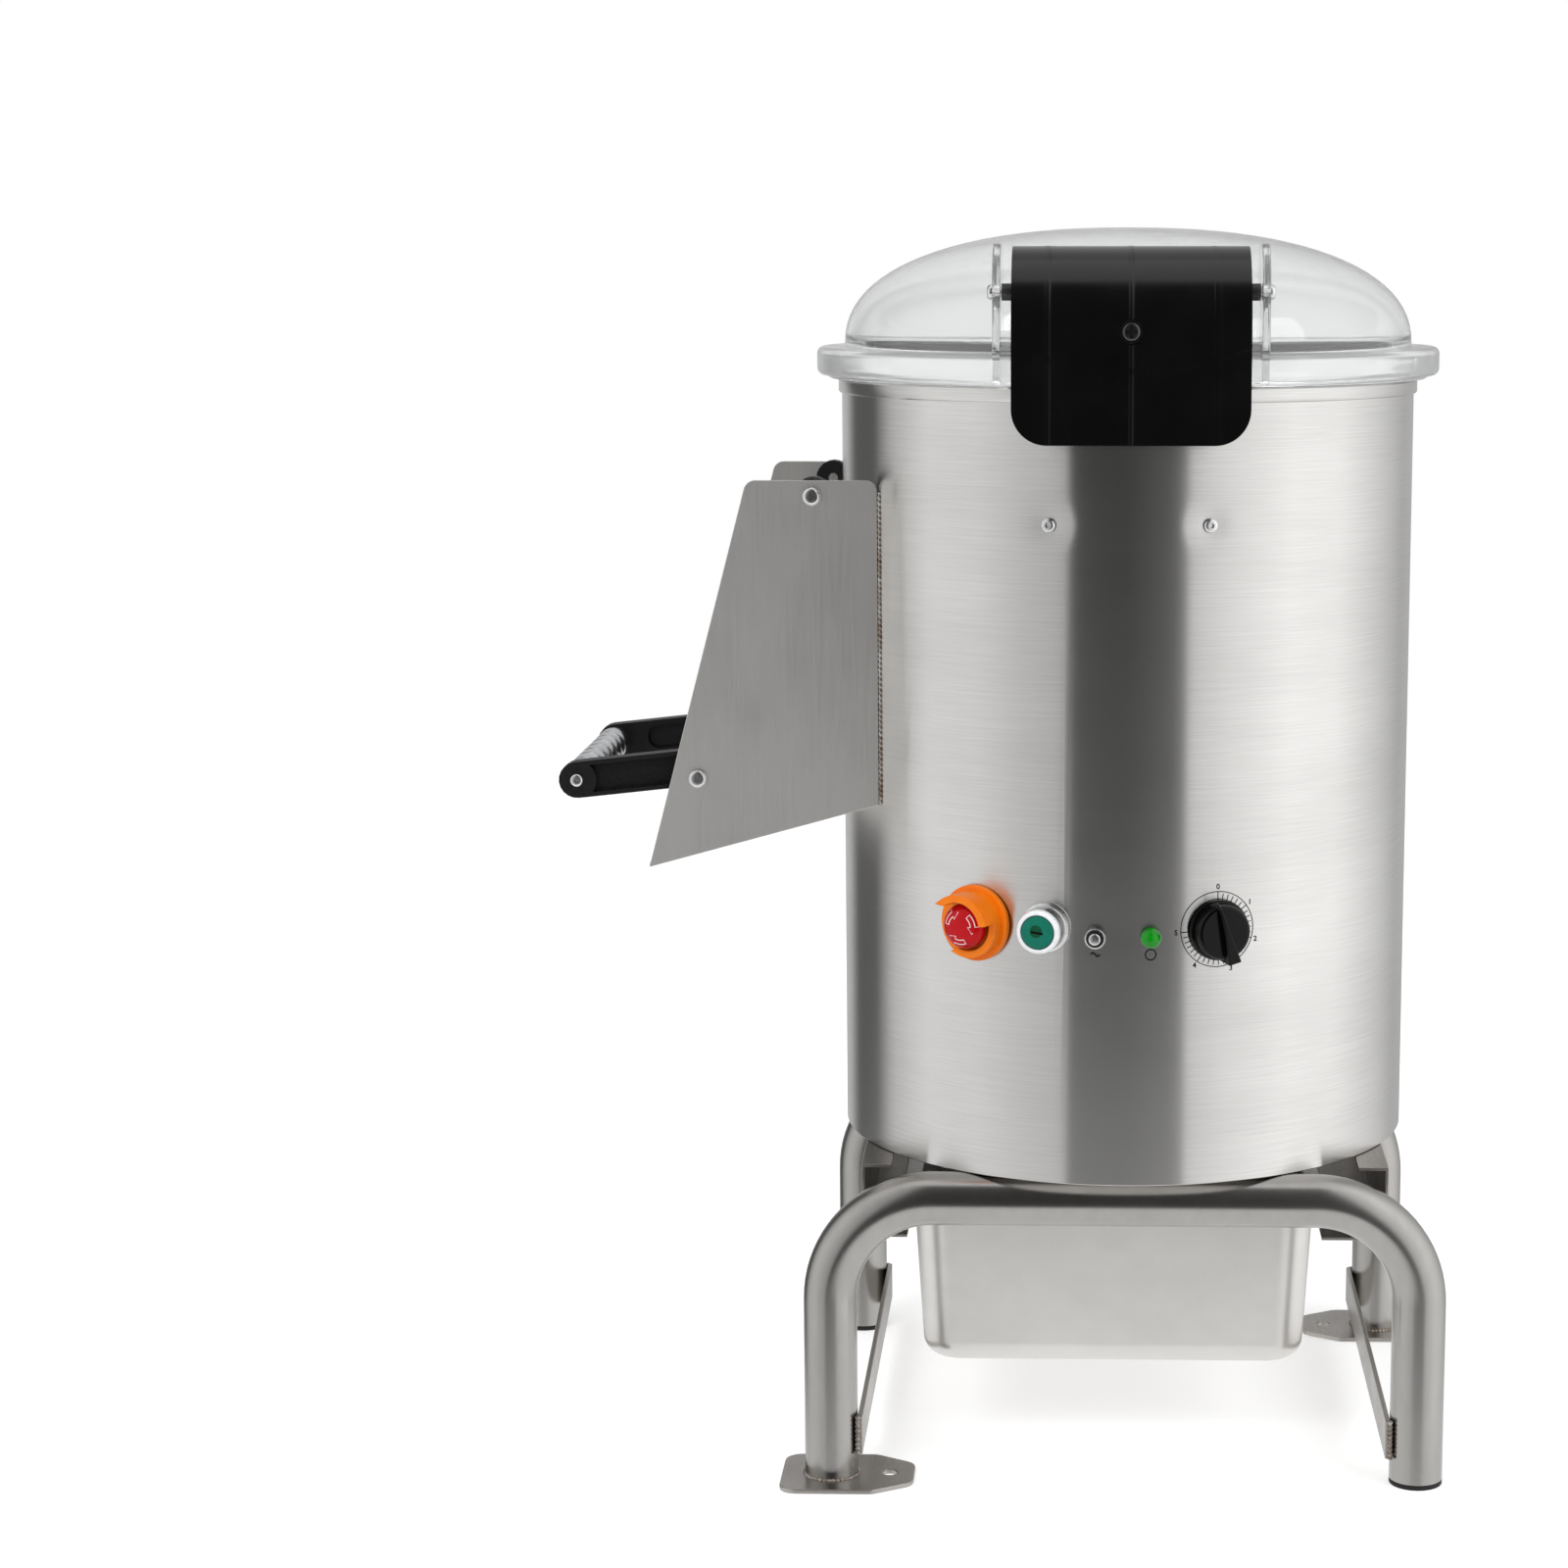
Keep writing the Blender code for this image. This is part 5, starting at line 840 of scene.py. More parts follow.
def drum_wall():
    """The brushed shell with its rolled rim and the dimples round its two front screws."""
    levels = [LINER_SCREW_Z + DIMPLE_STEP * k for k in range(-7, 8)]
    rim_foot = DRUM_TOP - RIM_DEPTH
    bore = DRUM_RADIUS - DRUM_WALL
    profile = [(DRUM_RADIUS - DRUM_EDGE, DRUM_BOTTOM), (DRUM_RADIUS, DRUM_BOTTOM + DRUM_EDGE)]
    profile += [(DRUM_RADIUS, z) for z in levels]
    profile.append((DRUM_RADIUS, rim_foot - DRUM_EDGE))
    profile += [(RIM_RADIUS - inset, rim_foot + up) for inset, up in RIM_FOOT_ROUND]
    profile += [(RIM_RADIUS - inset, DRUM_TOP - down) for inset, down in RIM_TOP_ROUND]
    profile += [(bore + DRUM_EDGE, DRUM_TOP), (bore, DRUM_TOP - DRUM_EDGE)]
    profile += [(bore, z) for z in levels[::-1]] + [(bore, DRUM_BOTTOM)]
    rings = [[wall_point(360 * k / WALL_SIDES, r, z) for k in range(WALL_SIDES)]
             for r, z in profile]
    return skin(rings, closed=True)


def dress_drum():
    """Shell with its openings, and the two socket screws that pull it in."""
    wall = piece("drum_wall", drum_wall(), "drum", "drum_shell")
    holes = [(HOLE_RADII[name], spot) for name, spot in CONTROLS.items()]
    holes += [(BACK_HOLE_RADIUS, (180, z)) for z in BACK_HOLES]
    for radius, spot in holes:
        cut(wall, turned([(radius, -CUT_REACH), (radius, CUT_REACH)], 32),
            DRUM_PLACE @ panel_frame(*spot))
    outline = rectangle(OPENING_HALF_WIDTH, OPENING_LOW, OPENING_HIGH, OPENING_CORNER)
    cut(wall, prism(outline, -DRUM_RADIUS - CUT_REACH, -DRUM_RADIUS / 2, "YZ"))
    sunk = Matrix.Translation((0, 0, -DIMPLE_DEPTH))
    for hand, side in SIDES:
        at = panel_frame(side * LINER_SCREW_AZIMUTH, LINER_SCREW_Z) @ sunk
        bolt("liner_bolt_" + hand, LINER_BOLT, at, "liner_screw_" + hand)


# Clear lid
FLANGE_RADIUS = 0.190
FLANGE_BOTTOM = DRUM_TOP + SEAT + 0.002
FLANGE_TOP = FLANGE_BOTTOM + 0.017
FLANGE_ROUND = 0.0042
LIP_RADIUS = 0.183
LIP_ROUND = 0.0016
# The shallow groove round the dome's foot: how far out from the dome and above the flange
FOOT_GROOVE = ((0.0006, 0.0003), (0.0020, -0.0003), (0.0070, -0.0003), (0.0080, 0.0))
DOME_RADIUS = 0.173
DOME_HEIGHT = 0.0703
DOME_BASE = FLANGE_TOP + 0.001
DOME_ROUNDNESS = 2.3
DOME_STEPS = 22
DOME_TOP_ANGLE = 86
MILKY_OUTSET = 0.0005
LID_WALL = 0.003
LID_SIDES = 192
LID_SHARP = math.radians(50)


def dome_curve(radius, height):
    """The dome's outline from its foot to near its top, as (radius, height) points."""
    points = []
    for k in range(DOME_STEPS + 1):
        a = math.radians(DOME_TOP_ANGLE * k / DOME_STEPS)
        points.append((radius * math.cos(a) ** (2 / DOME_ROUNDNESS),
                       DOME_BASE + height * math.sin(a) ** (2 / DOME_ROUNDNESS)))
    return points


def lid_profile():
    """The moulding's outline: the crown, the foot, the stepped flange and back up inside."""
    outline = dome_curve(DOME_RADIUS, DOME_HEIGHT)[::-1]
    lid_bottom = DRUM_TOP + SEAT
    outline += [(DOME_RADIUS + out, FLANGE_TOP + up) for out, up in FOOT_GROOVE]
    middle = FLANGE_RADIUS - FLANGE_ROUND
    outline += arc((middle, FLANGE_TOP - FLANGE_ROUND), FLANGE_ROUND, 90, 0, 8)
    outline += arc((middle, FLANGE_BOTTOM + FLANGE_ROUND), FLANGE_ROUND, 0, -90, 8)
    outline.append((LIP_RADIUS, FLANGE_BOTTOM))
    outline += arc((LIP_RADIUS - LIP_ROUND, lid_bottom + LIP_ROUND), LIP_ROUND, 0, -90, 5)
    bore = DOME_RADIUS - LID_WALL
    outline += [(bore + 0.001, lid_bottom), (bore, lid_bottom + 0.001)]
    return outline + dome_curve(bore, DOME_HEIGHT - LID_WALL)


def dress_lid():
    """The clear moulding, milky from the flange outwards."""
    lid = piece("lid_moulding", turned(lid_profile(), LID_SIDES), "clear", "lid_dome",
                sharp=LID_SHARP)
    lid.data.materials.append(finishes["milky"])
    for face in lid.data.polygons:
        out = math.hypot(face.center.x - DRUM_X, face.center.y - DRUM_Y)
        face.material_index = int(out > DOME_RADIUS + MILKY_OUTSET)


# Latch
LATCH_FRONT = -0.197
LATCH_LOW = FLANGE_BOTTOM - 0.0335
LATCH_ARC_Z = LATCH_LOW + 0.0629
LATCH_TOP = FLANGE_BOTTOM + 0.077
LATCH_CROWN = 0.047
LATCH_HALF_WIDTH = 0.067
LATCH_CORNER = 0.020
LATCH_THICKNESS = 0.004
LATCH_AXIS_Y = -0.168
LATCH_AXIS_Z = FLANGE_BOTTOM + 0.051
LATCH_COLUMNS = 160
LATCH_ROWS = 60
LATCH_ARC_ROWS = 16
LATCH_CORNER_STEPS = 12
LATCH_EDGE = 0.0011
LATCH_SHARP = math.radians(40)
# Faint sink marks over the ribs behind the face, as distances from its middle
LATCH_SINKS = (-0.0464, 0.0, 0.0475)
SINK_RISE = 0.00034
SINK_WIDTH = 0.0011
FACE_SET = 0.00043
SMILE_DROP = 0.0144
SMILE_HEIGHT = 0.0555
LUG_HALF = 0.009
LUG_STEPS = 16
LUG_INSETS = (0.0006, 0.006)
# Centre screw: its head, how deep it sits, its recess and its washer
LATCH_SCREW = (0.0052, 0.0016)
LATCH_SCREW_SUNK = 0.0019
LATCH_RECESS = ((0.0070, -0.002), (0.0078, 0.004))
LATCH_WASHER = ((0.0056, -0.0021), (0.0066, -0.0021), (0.0064, -0.0012), (0.0058, -0.0012))
# Pins: head and shank, the ears' outer face, and the spacers' radii and ends
LATCH_BOLT = (0.0042, 0.0030, 0.0024, 0.012)
EAR_OUTER = 0.0777
SPACER = (0.0030, 0.0048, 0.0004, 0.0058)


def latch_face_rise(x, z):
    """How far the moulded face stands proud over the ribs that run behind it."""
    rise = sum(math.exp(-((x - sink) / SINK_WIDTH) ** 2) for sink in LATCH_SINKS)
    smile = LATCH_LOW + SMILE_HEIGHT - SMILE_DROP * (1 - (x / LATCH_HALF_WIDTH) ** 2)
    rise += math.exp(-((z - smile) / SINK_WIDTH) ** 2)
    return SINK_RISE * min(rise, 1.2) - FACE_SET


def latch_section(x):
    """The lever's section at one place across: front face up, over the crown and back down."""
    into = max(0.0, abs(x) - (LATCH_HALF_WIDTH - LATCH_CORNER))
    low = LATCH_LOW + LATCH_CORNER - math.sqrt(max(0.0, LATCH_CORNER ** 2 - into ** 2))
    rise = LATCH_TOP - LATCH_ARC_Z
    crown = (LATCH_FRONT + LATCH_CROWN, LATCH_ARC_Z)
    section = []
    for k in range(LATCH_ROWS + 1):
        z = low + (LATCH_ARC_Z - low) * k / LATCH_ROWS
        section.append((LATCH_FRONT - latch_face_rise(x, z), z))
    for k in range(1, LATCH_ARC_ROWS + 1):
        a = math.radians(180 - 90 * k / LATCH_ARC_ROWS)
        proud = latch_face_rise(x, LATCH_ARC_Z + rise * math.sin(a))
        section.append((crown[0] + (LATCH_CROWN + proud) * math.cos(a),
                        crown[1] + (rise + proud) * math.sin(a)))
    section += arc(crown, LATCH_CROWN - LATCH_THICKNESS, 90, 180, LATCH_ARC_ROWS,
                   rise - LATCH_THICKNESS)
    section.append((LATCH_FRONT + LATCH_THICKNESS, low))
    return [(x, y, z) for y, z in section]


def latch_lug():
    """A lug's outline: round at the pin, and let into the lever's skin at its front."""
    outline = arc((LATCH_AXIS_Y, LATCH_AXIS_Z), LUG_HALF, -90, 90, LUG_STEPS)
    for k in range(LUG_STEPS + 1):
        z = LATCH_AXIS_Z + LUG_HALF * (1 - 2 * k / LUG_STEPS)
        share = (z - LATCH_ARC_Z) / (LATCH_TOP - LATCH_ARC_Z - LATCH_THICKNESS / 2)
        reach = (LATCH_CROWN - LATCH_THICKNESS / 2) * math.sqrt(1 - share ** 2)
        outline.append((LATCH_FRONT + LATCH_CROWN - reach, z))
    return outline


def dress_latch():
    """Moulded lever with its lugs, its recessed middle screw, and its pins and spacers."""
    flat = LATCH_HALF_WIDTH - LATCH_CORNER
    columns = [-flat + 2 * flat * k / (LATCH_COLUMNS - 1) for k in range(LATCH_COLUMNS)]
    rounds = [flat + LATCH_CORNER * math.sin(math.radians(90 * k / LATCH_CORNER_STEPS))
              for k in range(1, LATCH_CORNER_STEPS + 1)]
    across = [-x for x in rounds[::-1]] + columns + rounds
    lever = piece("latch_lever_moulded", skin([latch_section(x) for x in across]), "latch",
                  "latch_lever", bevel=LATCH_EDGE, sharp=LATCH_SHARP)
    for hand, side in SIDES:
        faces = sorted(side * (LATCH_HALF_WIDTH - inset) for inset in LUG_INSETS)
        cut(lever, prism(latch_lug(), *faces, "YZ"), operation="UNION")
    at = aimed((0, -1, 0), (0, LATCH_FRONT, LATCH_ARC_Z))
    cut(lever, turned(LATCH_RECESS, 48), DRUM_PLACE @ at)
    sunk = Matrix.Translation((0, 0, -LATCH_SCREW_SUNK))
    screw = moved(cross_screw(*LATCH_SCREW), at @ sunk)
    piece("latch_centre_screw", screw, "blacked", "latch_lever", beside=True)
    washer = moved(turned(LATCH_WASHER, 48, closed=True), at)
    piece("latch_washer", washer, "blacked", "latch_lever", beside=True)
    for hand, side in SIDES:
        at = aimed((side, 0, 0), (side * EAR_OUTER, LATCH_AXIS_Y, LATCH_AXIS_Z))
        bolt("latch_bolt_" + hand, LATCH_BOLT, at, "latch_pin_" + hand)
        at = aimed((side, 0, 0), (side * LATCH_HALF_WIDTH, LATCH_AXIS_Y, LATCH_AXIS_Z))
        piece("latch_spacer_" + hand, moved(tube(*SPACER, 32), at), "iron", "latch_pin_" + hand,
              beside=True)


# Chute, door and arms
DOOR_LAP = 0.008
DOOR_AXIS_X = -(DRUM_RADIUS + 0.012)
DOOR_AXIS_Z = OPENING_HIGH + DOOR_LAP + 0.004
CHUTE_TOP_Z = DOOR_AXIS_Z + 0.0094
CHUTE_LOW_Z = OPENING_LOW - DOOR_LAP - 0.0048
CHUTE_FALL = 0.0385
CHUTE_TOP_X = -(DRUM_RADIUS + 0.0509)
CHUTE_FOOT_X = -(DRUM_RADIUS + 0.1122)
CHUTE_INNER = 0.0934
CHUTE_OUTER = 0.0954
CHUTE_JOINT_X = -(math.sqrt(DRUM_RADIUS ** 2 - CHUTE_INNER ** 2) + SEAT)
CHUTE_CORNER = 0.007
CHUTE_EDGE = 0.0004
CHUTE_WELD_SET = 0.0002
CHUTE_WELD_START = 0.001
# Screws of the hinge and the catch: place and sizes
CHUTE_BOLTS = (
    ("hinge", DOOR_AXIS_X, DOOR_AXIS_Z, (0.0055, 0.003, 0.003, 0.0194)),
    ("catch", -(DRUM_RADIUS + 0.082), DOOR_AXIS_Z - 0.169, (0.0055, 0.003, 0.003, 0.0064)),
)
GRIP_X = -(DRUM_RADIUS + 0.156)
GRIP_Z = DOOR_AXIS_Z - 0.1714
GRIP_RADIUS = 0.010
GRIP_GROOVE = 0.0024
GRIP_RIBS = 8
GRIP_RIB_STEPS = 10
GRIP_RIB_POWER = 2.6
GRIP_HALF = 0.0757
GRIP_BOLT = (0.0040, 0.0022, 0.0024, 0.010)
ARM_OUTER = 0.088
ARM_RISE = 0.016
ARM_EDGE = 0.0007
ARM_POCKET_START = 0.0118
ARM_POCKET_END = 0.123
ARM_POCKET_HALF = 0.0083
ARM_POCKET_DEPTH = 0.0042
HINGE_BOSS = ((0.0098, 0.0), (0.0105, 0.0), (0.0105, 0.0046), (0.0098, 0.0052),
              (0.0046, 0.0052), (0.0046, 0.0))


def dress_chute():
    """Side plates, level on top with rounded corners, with their screws and welds."""
    outline = filleted([(CHUTE_TOP_X, CHUTE_TOP_Z, CHUTE_CORNER),
                        (CHUTE_JOINT_X, CHUTE_TOP_Z, CHUTE_CORNER), (CHUTE_JOINT_X, CHUTE_LOW_Z, 0),
                        (CHUTE_FOOT_X, CHUTE_LOW_Z - CHUTE_FALL, 0)])
    for end, side in ENDS:
        faces = sorted((side * CHUTE_INNER, side * CHUTE_OUTER))
        piece("chute_side_" + end, prism(outline, *faces, "XZ"), "sheet", "chute_plate_" + end,
              bevel=CHUTE_EDGE)
        for role, x, z, sizes in CHUTE_BOLTS:
            at = aimed((0, side, 0), (x, side * CHUTE_OUTER, z))
            bolt("{}_bolt_{}".format(role, end), sizes, at, "{}_screw_{}".format(role, end))
        y = side * (CHUTE_OUTER - CHUTE_WELD_SET)
        x = -math.sqrt((DRUM_RADIUS + CHUTE_WELD_SET) ** 2 - CHUTE_OUTER ** 2)
        seam = bead((x, y, CHUTE_LOW_Z + CHUTE_WELD_START), (x, y, CHUTE_TOP_Z - CHUTE_CORNER),
                    420, *CHUTE_BEAD)
        weld("chute_weld_" + end, seam, "chute_plate_" + end)


def arm_pocket():
    """The long pocket in an arm's outer face, from the boss at the grip to the elbow."""
    lean = Matrix.Rotation(math.atan2(ARM_RISE, DOOR_AXIS_X - GRIP_X), 2)
    reach = math.degrees(math.asin(ARM_POCKET_HALF / ARM_POCKET_START))
    flat = [(ARM_POCKET_END, -ARM_POCKET_HALF), (ARM_POCKET_END, ARM_POCKET_HALF)]
    flat += arc((0, 0), ARM_POCKET_START, reach, -reach, 16)
    return [(Vector((GRIP_X, GRIP_Z)) + lean @ Vector(point)).to_tuple() for point in flat]


def grip_profile():
    """The grip's outline along its length, swollen between its grooves."""
    pitch = 2 * GRIP_HALF / GRIP_RIBS
    profile = [(GRIP_RADIUS - GRIP_GROOVE, -GRIP_HALF)]
    for k in range(GRIP_RIBS):
        for i in range(1, GRIP_RIB_STEPS + 1):
            along = i / GRIP_RIB_STEPS
            swell = math.sqrt(max(0.0, 1 - abs(2 * along - 1) ** GRIP_RIB_POWER))
            profile.append((GRIP_RADIUS - GRIP_GROOVE * (1 - swell),
                            -GRIP_HALF + pitch * (k + along)))
    return profile


def dress_door():
    """The two moulded arms with their bosses, and the ribbed grip between them."""
    for end, side in ENDS:
        arm = dress("door_arm_" + end, "arm", ARM_EDGE)
        faces = sorted((side * (ARM_OUTER - ARM_POCKET_DEPTH), side * (ARM_OUTER + 0.001)))
        cut(arm, prism(arm_pocket(), *faces, "XZ"))
        at = aimed((0, side, 0), (GRIP_X, side * ARM_OUTER, GRIP_Z))
        bolt("grip_bolt_" + end, GRIP_BOLT, at, "grip_screw_" + end)
        at = aimed((0, side, 0), (DOOR_AXIS_X, side * ARM_OUTER, DOOR_AXIS_Z))
        piece("hinge_boss_" + end, moved(turned(HINGE_BOSS, 40, closed=True), at), "arm",
              "door_arm_" + end, beside=True)
    at = aimed((0, 1, 0), (GRIP_X, 0, GRIP_Z))
    piece("grip_ribbed", moved(turned(grip_profile()), at), "grip", "grip_tube")


# Waste pan
PAN_LOW, PAN_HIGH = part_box("waste_pan")
PAN_HALF_X = (PAN_HIGH.x - PAN_LOW.x) / 2
PAN_HALF_Y = (PAN_HIGH.y - PAN_LOW.y) / 2
PAN_X = (PAN_HIGH.x + PAN_LOW.x) / 2 - DRUM_X
PAN_Y = (PAN_HIGH.y + PAN_LOW.y) / 2 - DRUM_Y
PAN_BOTTOM = PAN_LOW.z
PAN_TOP = PAN_HIGH.z
PAN_RIM = 0.0095
PAN_RIM_FOOT = PAN_TOP - 0.0025
PAN_RIM_EDGE = 0.0008
PAN_FILLET_IN = 0.0006
PAN_FILLET_OUT = 0.0009
PAN_TAPER = 0.0055
PAN_WALL = 0.0012
PAN_CORNER = 0.022
PAN_FOOT_ROUND = 0.014
PAN_CORNER_STEPS = 14
PAN_ROUND_STEPS = 9


def pan_loop(inset, z, corner):
    """The pan's outline, drawn in by an inset, at a height."""
    half_y = PAN_HALF_Y - inset
    outline = rectangle(PAN_HALF_X - inset, -half_y, half_y, corner, PAN_CORNER_STEPS)
    return [(PAN_X + x, PAN_Y + y, z) for x, y in outline]


def pan_wall(shrink):
    """Loops from the pan's floor up its rounded foot, for its outside or, shrunk, its inside."""
    rings = []
    size = PAN_FOOT_ROUND - shrink
    for k in range(PAN_ROUND_STEPS + 1):
        a = math.pi / 2 * k / PAN_ROUND_STEPS
        inset = PAN_RIM + PAN_TAPER + shrink + size * (1 - math.sin(a))
        z = PAN_BOTTOM + shrink + size * (1 - math.cos(a))
        rings.append(pan_loop(inset, z, max(PAN_CORNER - (inset - PAN_RIM) / 2, PAN_CORNER / 2)))
    return rings


def dress_pan():
    """Deep-drawn pan: tapered walls, rounded foot, flat rim."""
    wide = PAN_CORNER + PAN_RIM
    rim = [(PAN_RIM + PAN_FILLET_IN, PAN_RIM_FOOT - PAN_FILLET_IN - PAN_FILLET_OUT, PAN_CORNER),
           (PAN_RIM - PAN_FILLET_OUT, PAN_RIM_FOOT, PAN_CORNER),
           (PAN_RIM_EDGE, PAN_RIM_FOOT, wide), (0, PAN_RIM_FOOT + PAN_RIM_EDGE, wide),
           (0, PAN_TOP - PAN_RIM_EDGE, wide), (PAN_RIM_EDGE, PAN_TOP, wide),
           (PAN_RIM + PAN_WALL, PAN_TOP, PAN_CORNER - PAN_WALL)]
    rings = pan_wall(0) + [pan_loop(*values) for values in rim] + pan_wall(PAN_WALL)[::-1]
    piece("pan_drawn", skin(rings), "pressed", "waste_pan")


# Printing on the wall and the controls
PRINT_LIFT = 0.00012
PRINT_DEPTH = 0.00005
DIAL_OUTER = 0.0222
DIAL_INNER = 0.0177
DIAL_LINE = 0.0005
DIAL_NUMBERS = 5
DIAL_DIVISIONS = 6
DIAL_SWEEP = 267
TICK_INSET = 0.0003
SHORT_TICK_INSET = 0.0011
NUMBER_HEIGHT = 0.0031
NUMBER_REACH = 0.0250
# Font size and weight that give a number its height and stroke, as shares of that height
FONT_SIZE = 1.38
FONT_WEIGHT = 0.03
LAMP_MARK_Y = -0.0100
LAMP_MARK_RADIUS = 0.0031
LAMP_MARK_LINE = 0.0007
WAVE_HALF = 0.0027
WAVE_Y = -0.0098
WAVE_RISE = 0.0010
WAVE_LINE = 0.0009
WAVE_STEPS = 24


def band(path, width, closed=True, height=lambda x, y: 0.0):
    """A flat line of a width through points, as quads at a height."""
    shape = bmesh.new()
    points = [Vector(p) for p in path]
    last = len(points) - 1
    rows = []
    for i, point in enumerate(points):
        before = points[i - 1] if closed else points[max(i - 1, 0)]
        after = points[(i + 1) % len(points)] if closed else points[min(i + 1, last)]
        along = (after - point).normalized() + (point - before).normalized()
        side = Vector((-along.y, along.x)).normalized() * width / 2
        rows.append([shape.verts.new((*spot, height(*spot)))
                     for spot in (point - side, point + side)])
    for i in range(last + closed):
        near, far = rows[i], rows[(i + 1) % len(rows)]
        shape.faces.new((near[0], far[0], far[1], near[1]))
    return shape


def printed(control, name, shape):
    """A flat drawing (X right, Y up, metres), wrapped round the drum's wall in black ink."""
    azimuth, middle = CONTROLS[control]
    turn = math.radians(azimuth)
    for vert in shape.verts:
        angle = turn + vert.co.x / DRUM_RADIUS
        reach = DRUM_RADIUS + PRINT_LIFT + vert.co.z
        vert.co = Vector((reach * math.sin(angle), -reach * math.cos(angle), middle + vert.co.y))
    piece(name, shape, "ink", "drum_shell", True)


def numeral(text, at):
    """A plain number as flat quads."""
    curve = bpy.data.curves.new("numeral", "FONT")
    curve.body = text
    curve.size = NUMBER_HEIGHT * FONT_SIZE
    curve.offset = NUMBER_HEIGHT * FONT_WEIGHT
    curve.align_x = "CENTER"
    curve.align_y = "CENTER"
    return moved(evaluated(linked("numeral", curve)), Matrix.Translation(at))


def dial():
    """Two rings, the ticks between them, and the numbers 0 to 5 round the outside."""
    shapes = [band(circle(radius, 120), DIAL_LINE) for radius in (DIAL_OUTER, DIAL_INNER)]
    ticks = DIAL_NUMBERS * DIAL_DIVISIONS
    for k in range(ticks + 1):
        along = Vector((1, 0)) @ Matrix.Rotation(math.radians(DIAL_SWEEP * k / ticks - 90), 2)
        near, far = DIAL_INNER, DIAL_OUTER
        if k % DIAL_DIVISIONS == 0:
            at = (NUMBER_REACH * along).to_3d()
            shapes.append(numeral(str(k // DIAL_DIVISIONS), at))
        else:
            near, far = near + TICK_INSET, far - SHORT_TICK_INSET
        shapes.append(band([along * near, along * far], DIAL_LINE, closed=False))
    return merged(*shapes)


def print_marks():
    """Dial round the knob, the lamp's small circle and the reset's wave."""
    printed("timer", "dial_print", dial())
    printed("lamp", "lamp_mark",
            band(circle(LAMP_MARK_RADIUS, 48, (0, LAMP_MARK_Y)), LAMP_MARK_LINE))
    wave = [(WAVE_HALF * (2 * k / WAVE_STEPS - 1),
             WAVE_Y + WAVE_RISE * math.sin(2 * math.pi * k / WAVE_STEPS))
            for k in range(WAVE_STEPS + 1)]
    printed("reset", "reset_mark", band(wave, WAVE_LINE, closed=False))


# Controls: shapes are drawn in each control's own frame on the wall
FITTING_DEPTH = -0.036
NECK_RADIUS = 0.0109
SHROUD_RADIUS = 0.0225
SHROUD_TOP = SEAT + 0.0035
SHROUD_EDGE = 0.0007
GUARD_INNER = 0.0150
GUARD_OUTER = 0.0195
GUARD_SUNK = 0.0005
GUARD_EDGE = 0.0008
GUARD_STEPS = 48
# Rail and hood: name, first and last angle, top
GUARDS = (("rail", 16, -111, 0.012), ("hood", 8, 126, 0.023))
BEAK_REACH = 0.020
BEAK_LEAD = 14
STEM_BORE = 0.0066
SHROUD_FOOT = ((STEM_BORE, FITTING_DEPTH), (NECK_RADIUS, FITTING_DEPTH), (NECK_RADIUS, SEAT),
               (SHROUD_RADIUS - 0.0002, SEAT))
MUSHROOM_RADIUS = 0.0132
MUSHROOM_LOW = 0.011
MUSHROOM_HEIGHT = 0.009
MUSHROOM_FOOT = ((0.004, MUSHROOM_LOW), (MUSHROOM_RADIUS - 0.0006, MUSHROOM_LOW),
                 (MUSHROOM_RADIUS, MUSHROOM_LOW + 0.0006))
MUSHROOM_STEPS = 18
CROWN_FOOT = 0.4
CROWN_POWER = 2.6
# How near its axis a turned top ends
CENTRE = 0.0003
ARROW_RADIUS = 0.0088
ARROW_HALF = 0.0013
ARROW_WING = 0.0030
ARROW_NECK = 46
ARROW_TIP = 74
ARROW_LINE = 0.0005
ARROW_TURNS = (52, 172, 292)
# Start button
CAP_RADIUS = 0.0096
CAP_TOP = 0.0198
CAP_FOOT = ((0.0070, -0.010), (0.0070, 0.010), (CAP_RADIUS, 0.010))
CAP_EDGE = 0.0012
CAP_CENTRE = 0.0005
BEZEL_RADIUS = 0.0128
BEZEL_TOP = 0.019
BEZEL_LOW = BEZEL_TOP - 0.0046
BEZEL_BORE = CAP_RADIUS + 0.0004
BEZEL_ROUND = 0.0018
BEZEL_LIP = 0.0006
WAIST = 0.0132
# The barrel's section from its bore behind the wall, out and up to the ring
BARREL = ((0.0074, FITTING_DEPTH), (NECK_RADIUS, FITTING_DEPTH), (NECK_RADIUS, SEAT),
          (WAIST + 0.0010, SEAT), (WAIST + 0.0014, 0.0008), (WAIST + 0.0012, 0.0035),
          (WAIST, 0.0042), (WAIST - 0.0004, BEZEL_LOW), (BEZEL_BORE, BEZEL_LOW),
          (BEZEL_BORE, 0.005), (0.0074, 0.005))
SEAL = (CAP_RADIUS + 0.0001, BEZEL_BORE - 0.0001, 0.0184, 0.0188)
PATCH_RADIUS = 0.0037
PATCH_AT = (-0.0006, 0.0008)
BAR_HALF = 0.0036
BAR_THICK = 0.0007
BAR_LEAN = -6
# Reset button
NUT_RADIUS = 0.006
NUT_TOP = 0.0035
NUT_EDGE = 0.0004
NUT_FOOT = ((0.0046, -0.012), (0.0049, -0.012), (0.0049, SEAT), (NUT_RADIUS, SEAT))
NUT_MOUTH = ((0.0051, 0.0030), (0.0046, 0.0026))
DARK_RING = ((0.0037, 0.0002), (0.0045, 0.0002), (0.0052, 0.0031), (0.0037, 0.0028))
PLUNGER_RADIUS = 0.0035
PLUNGER_TOP = 0.006
PLUNGER_EDGE = 0.0010
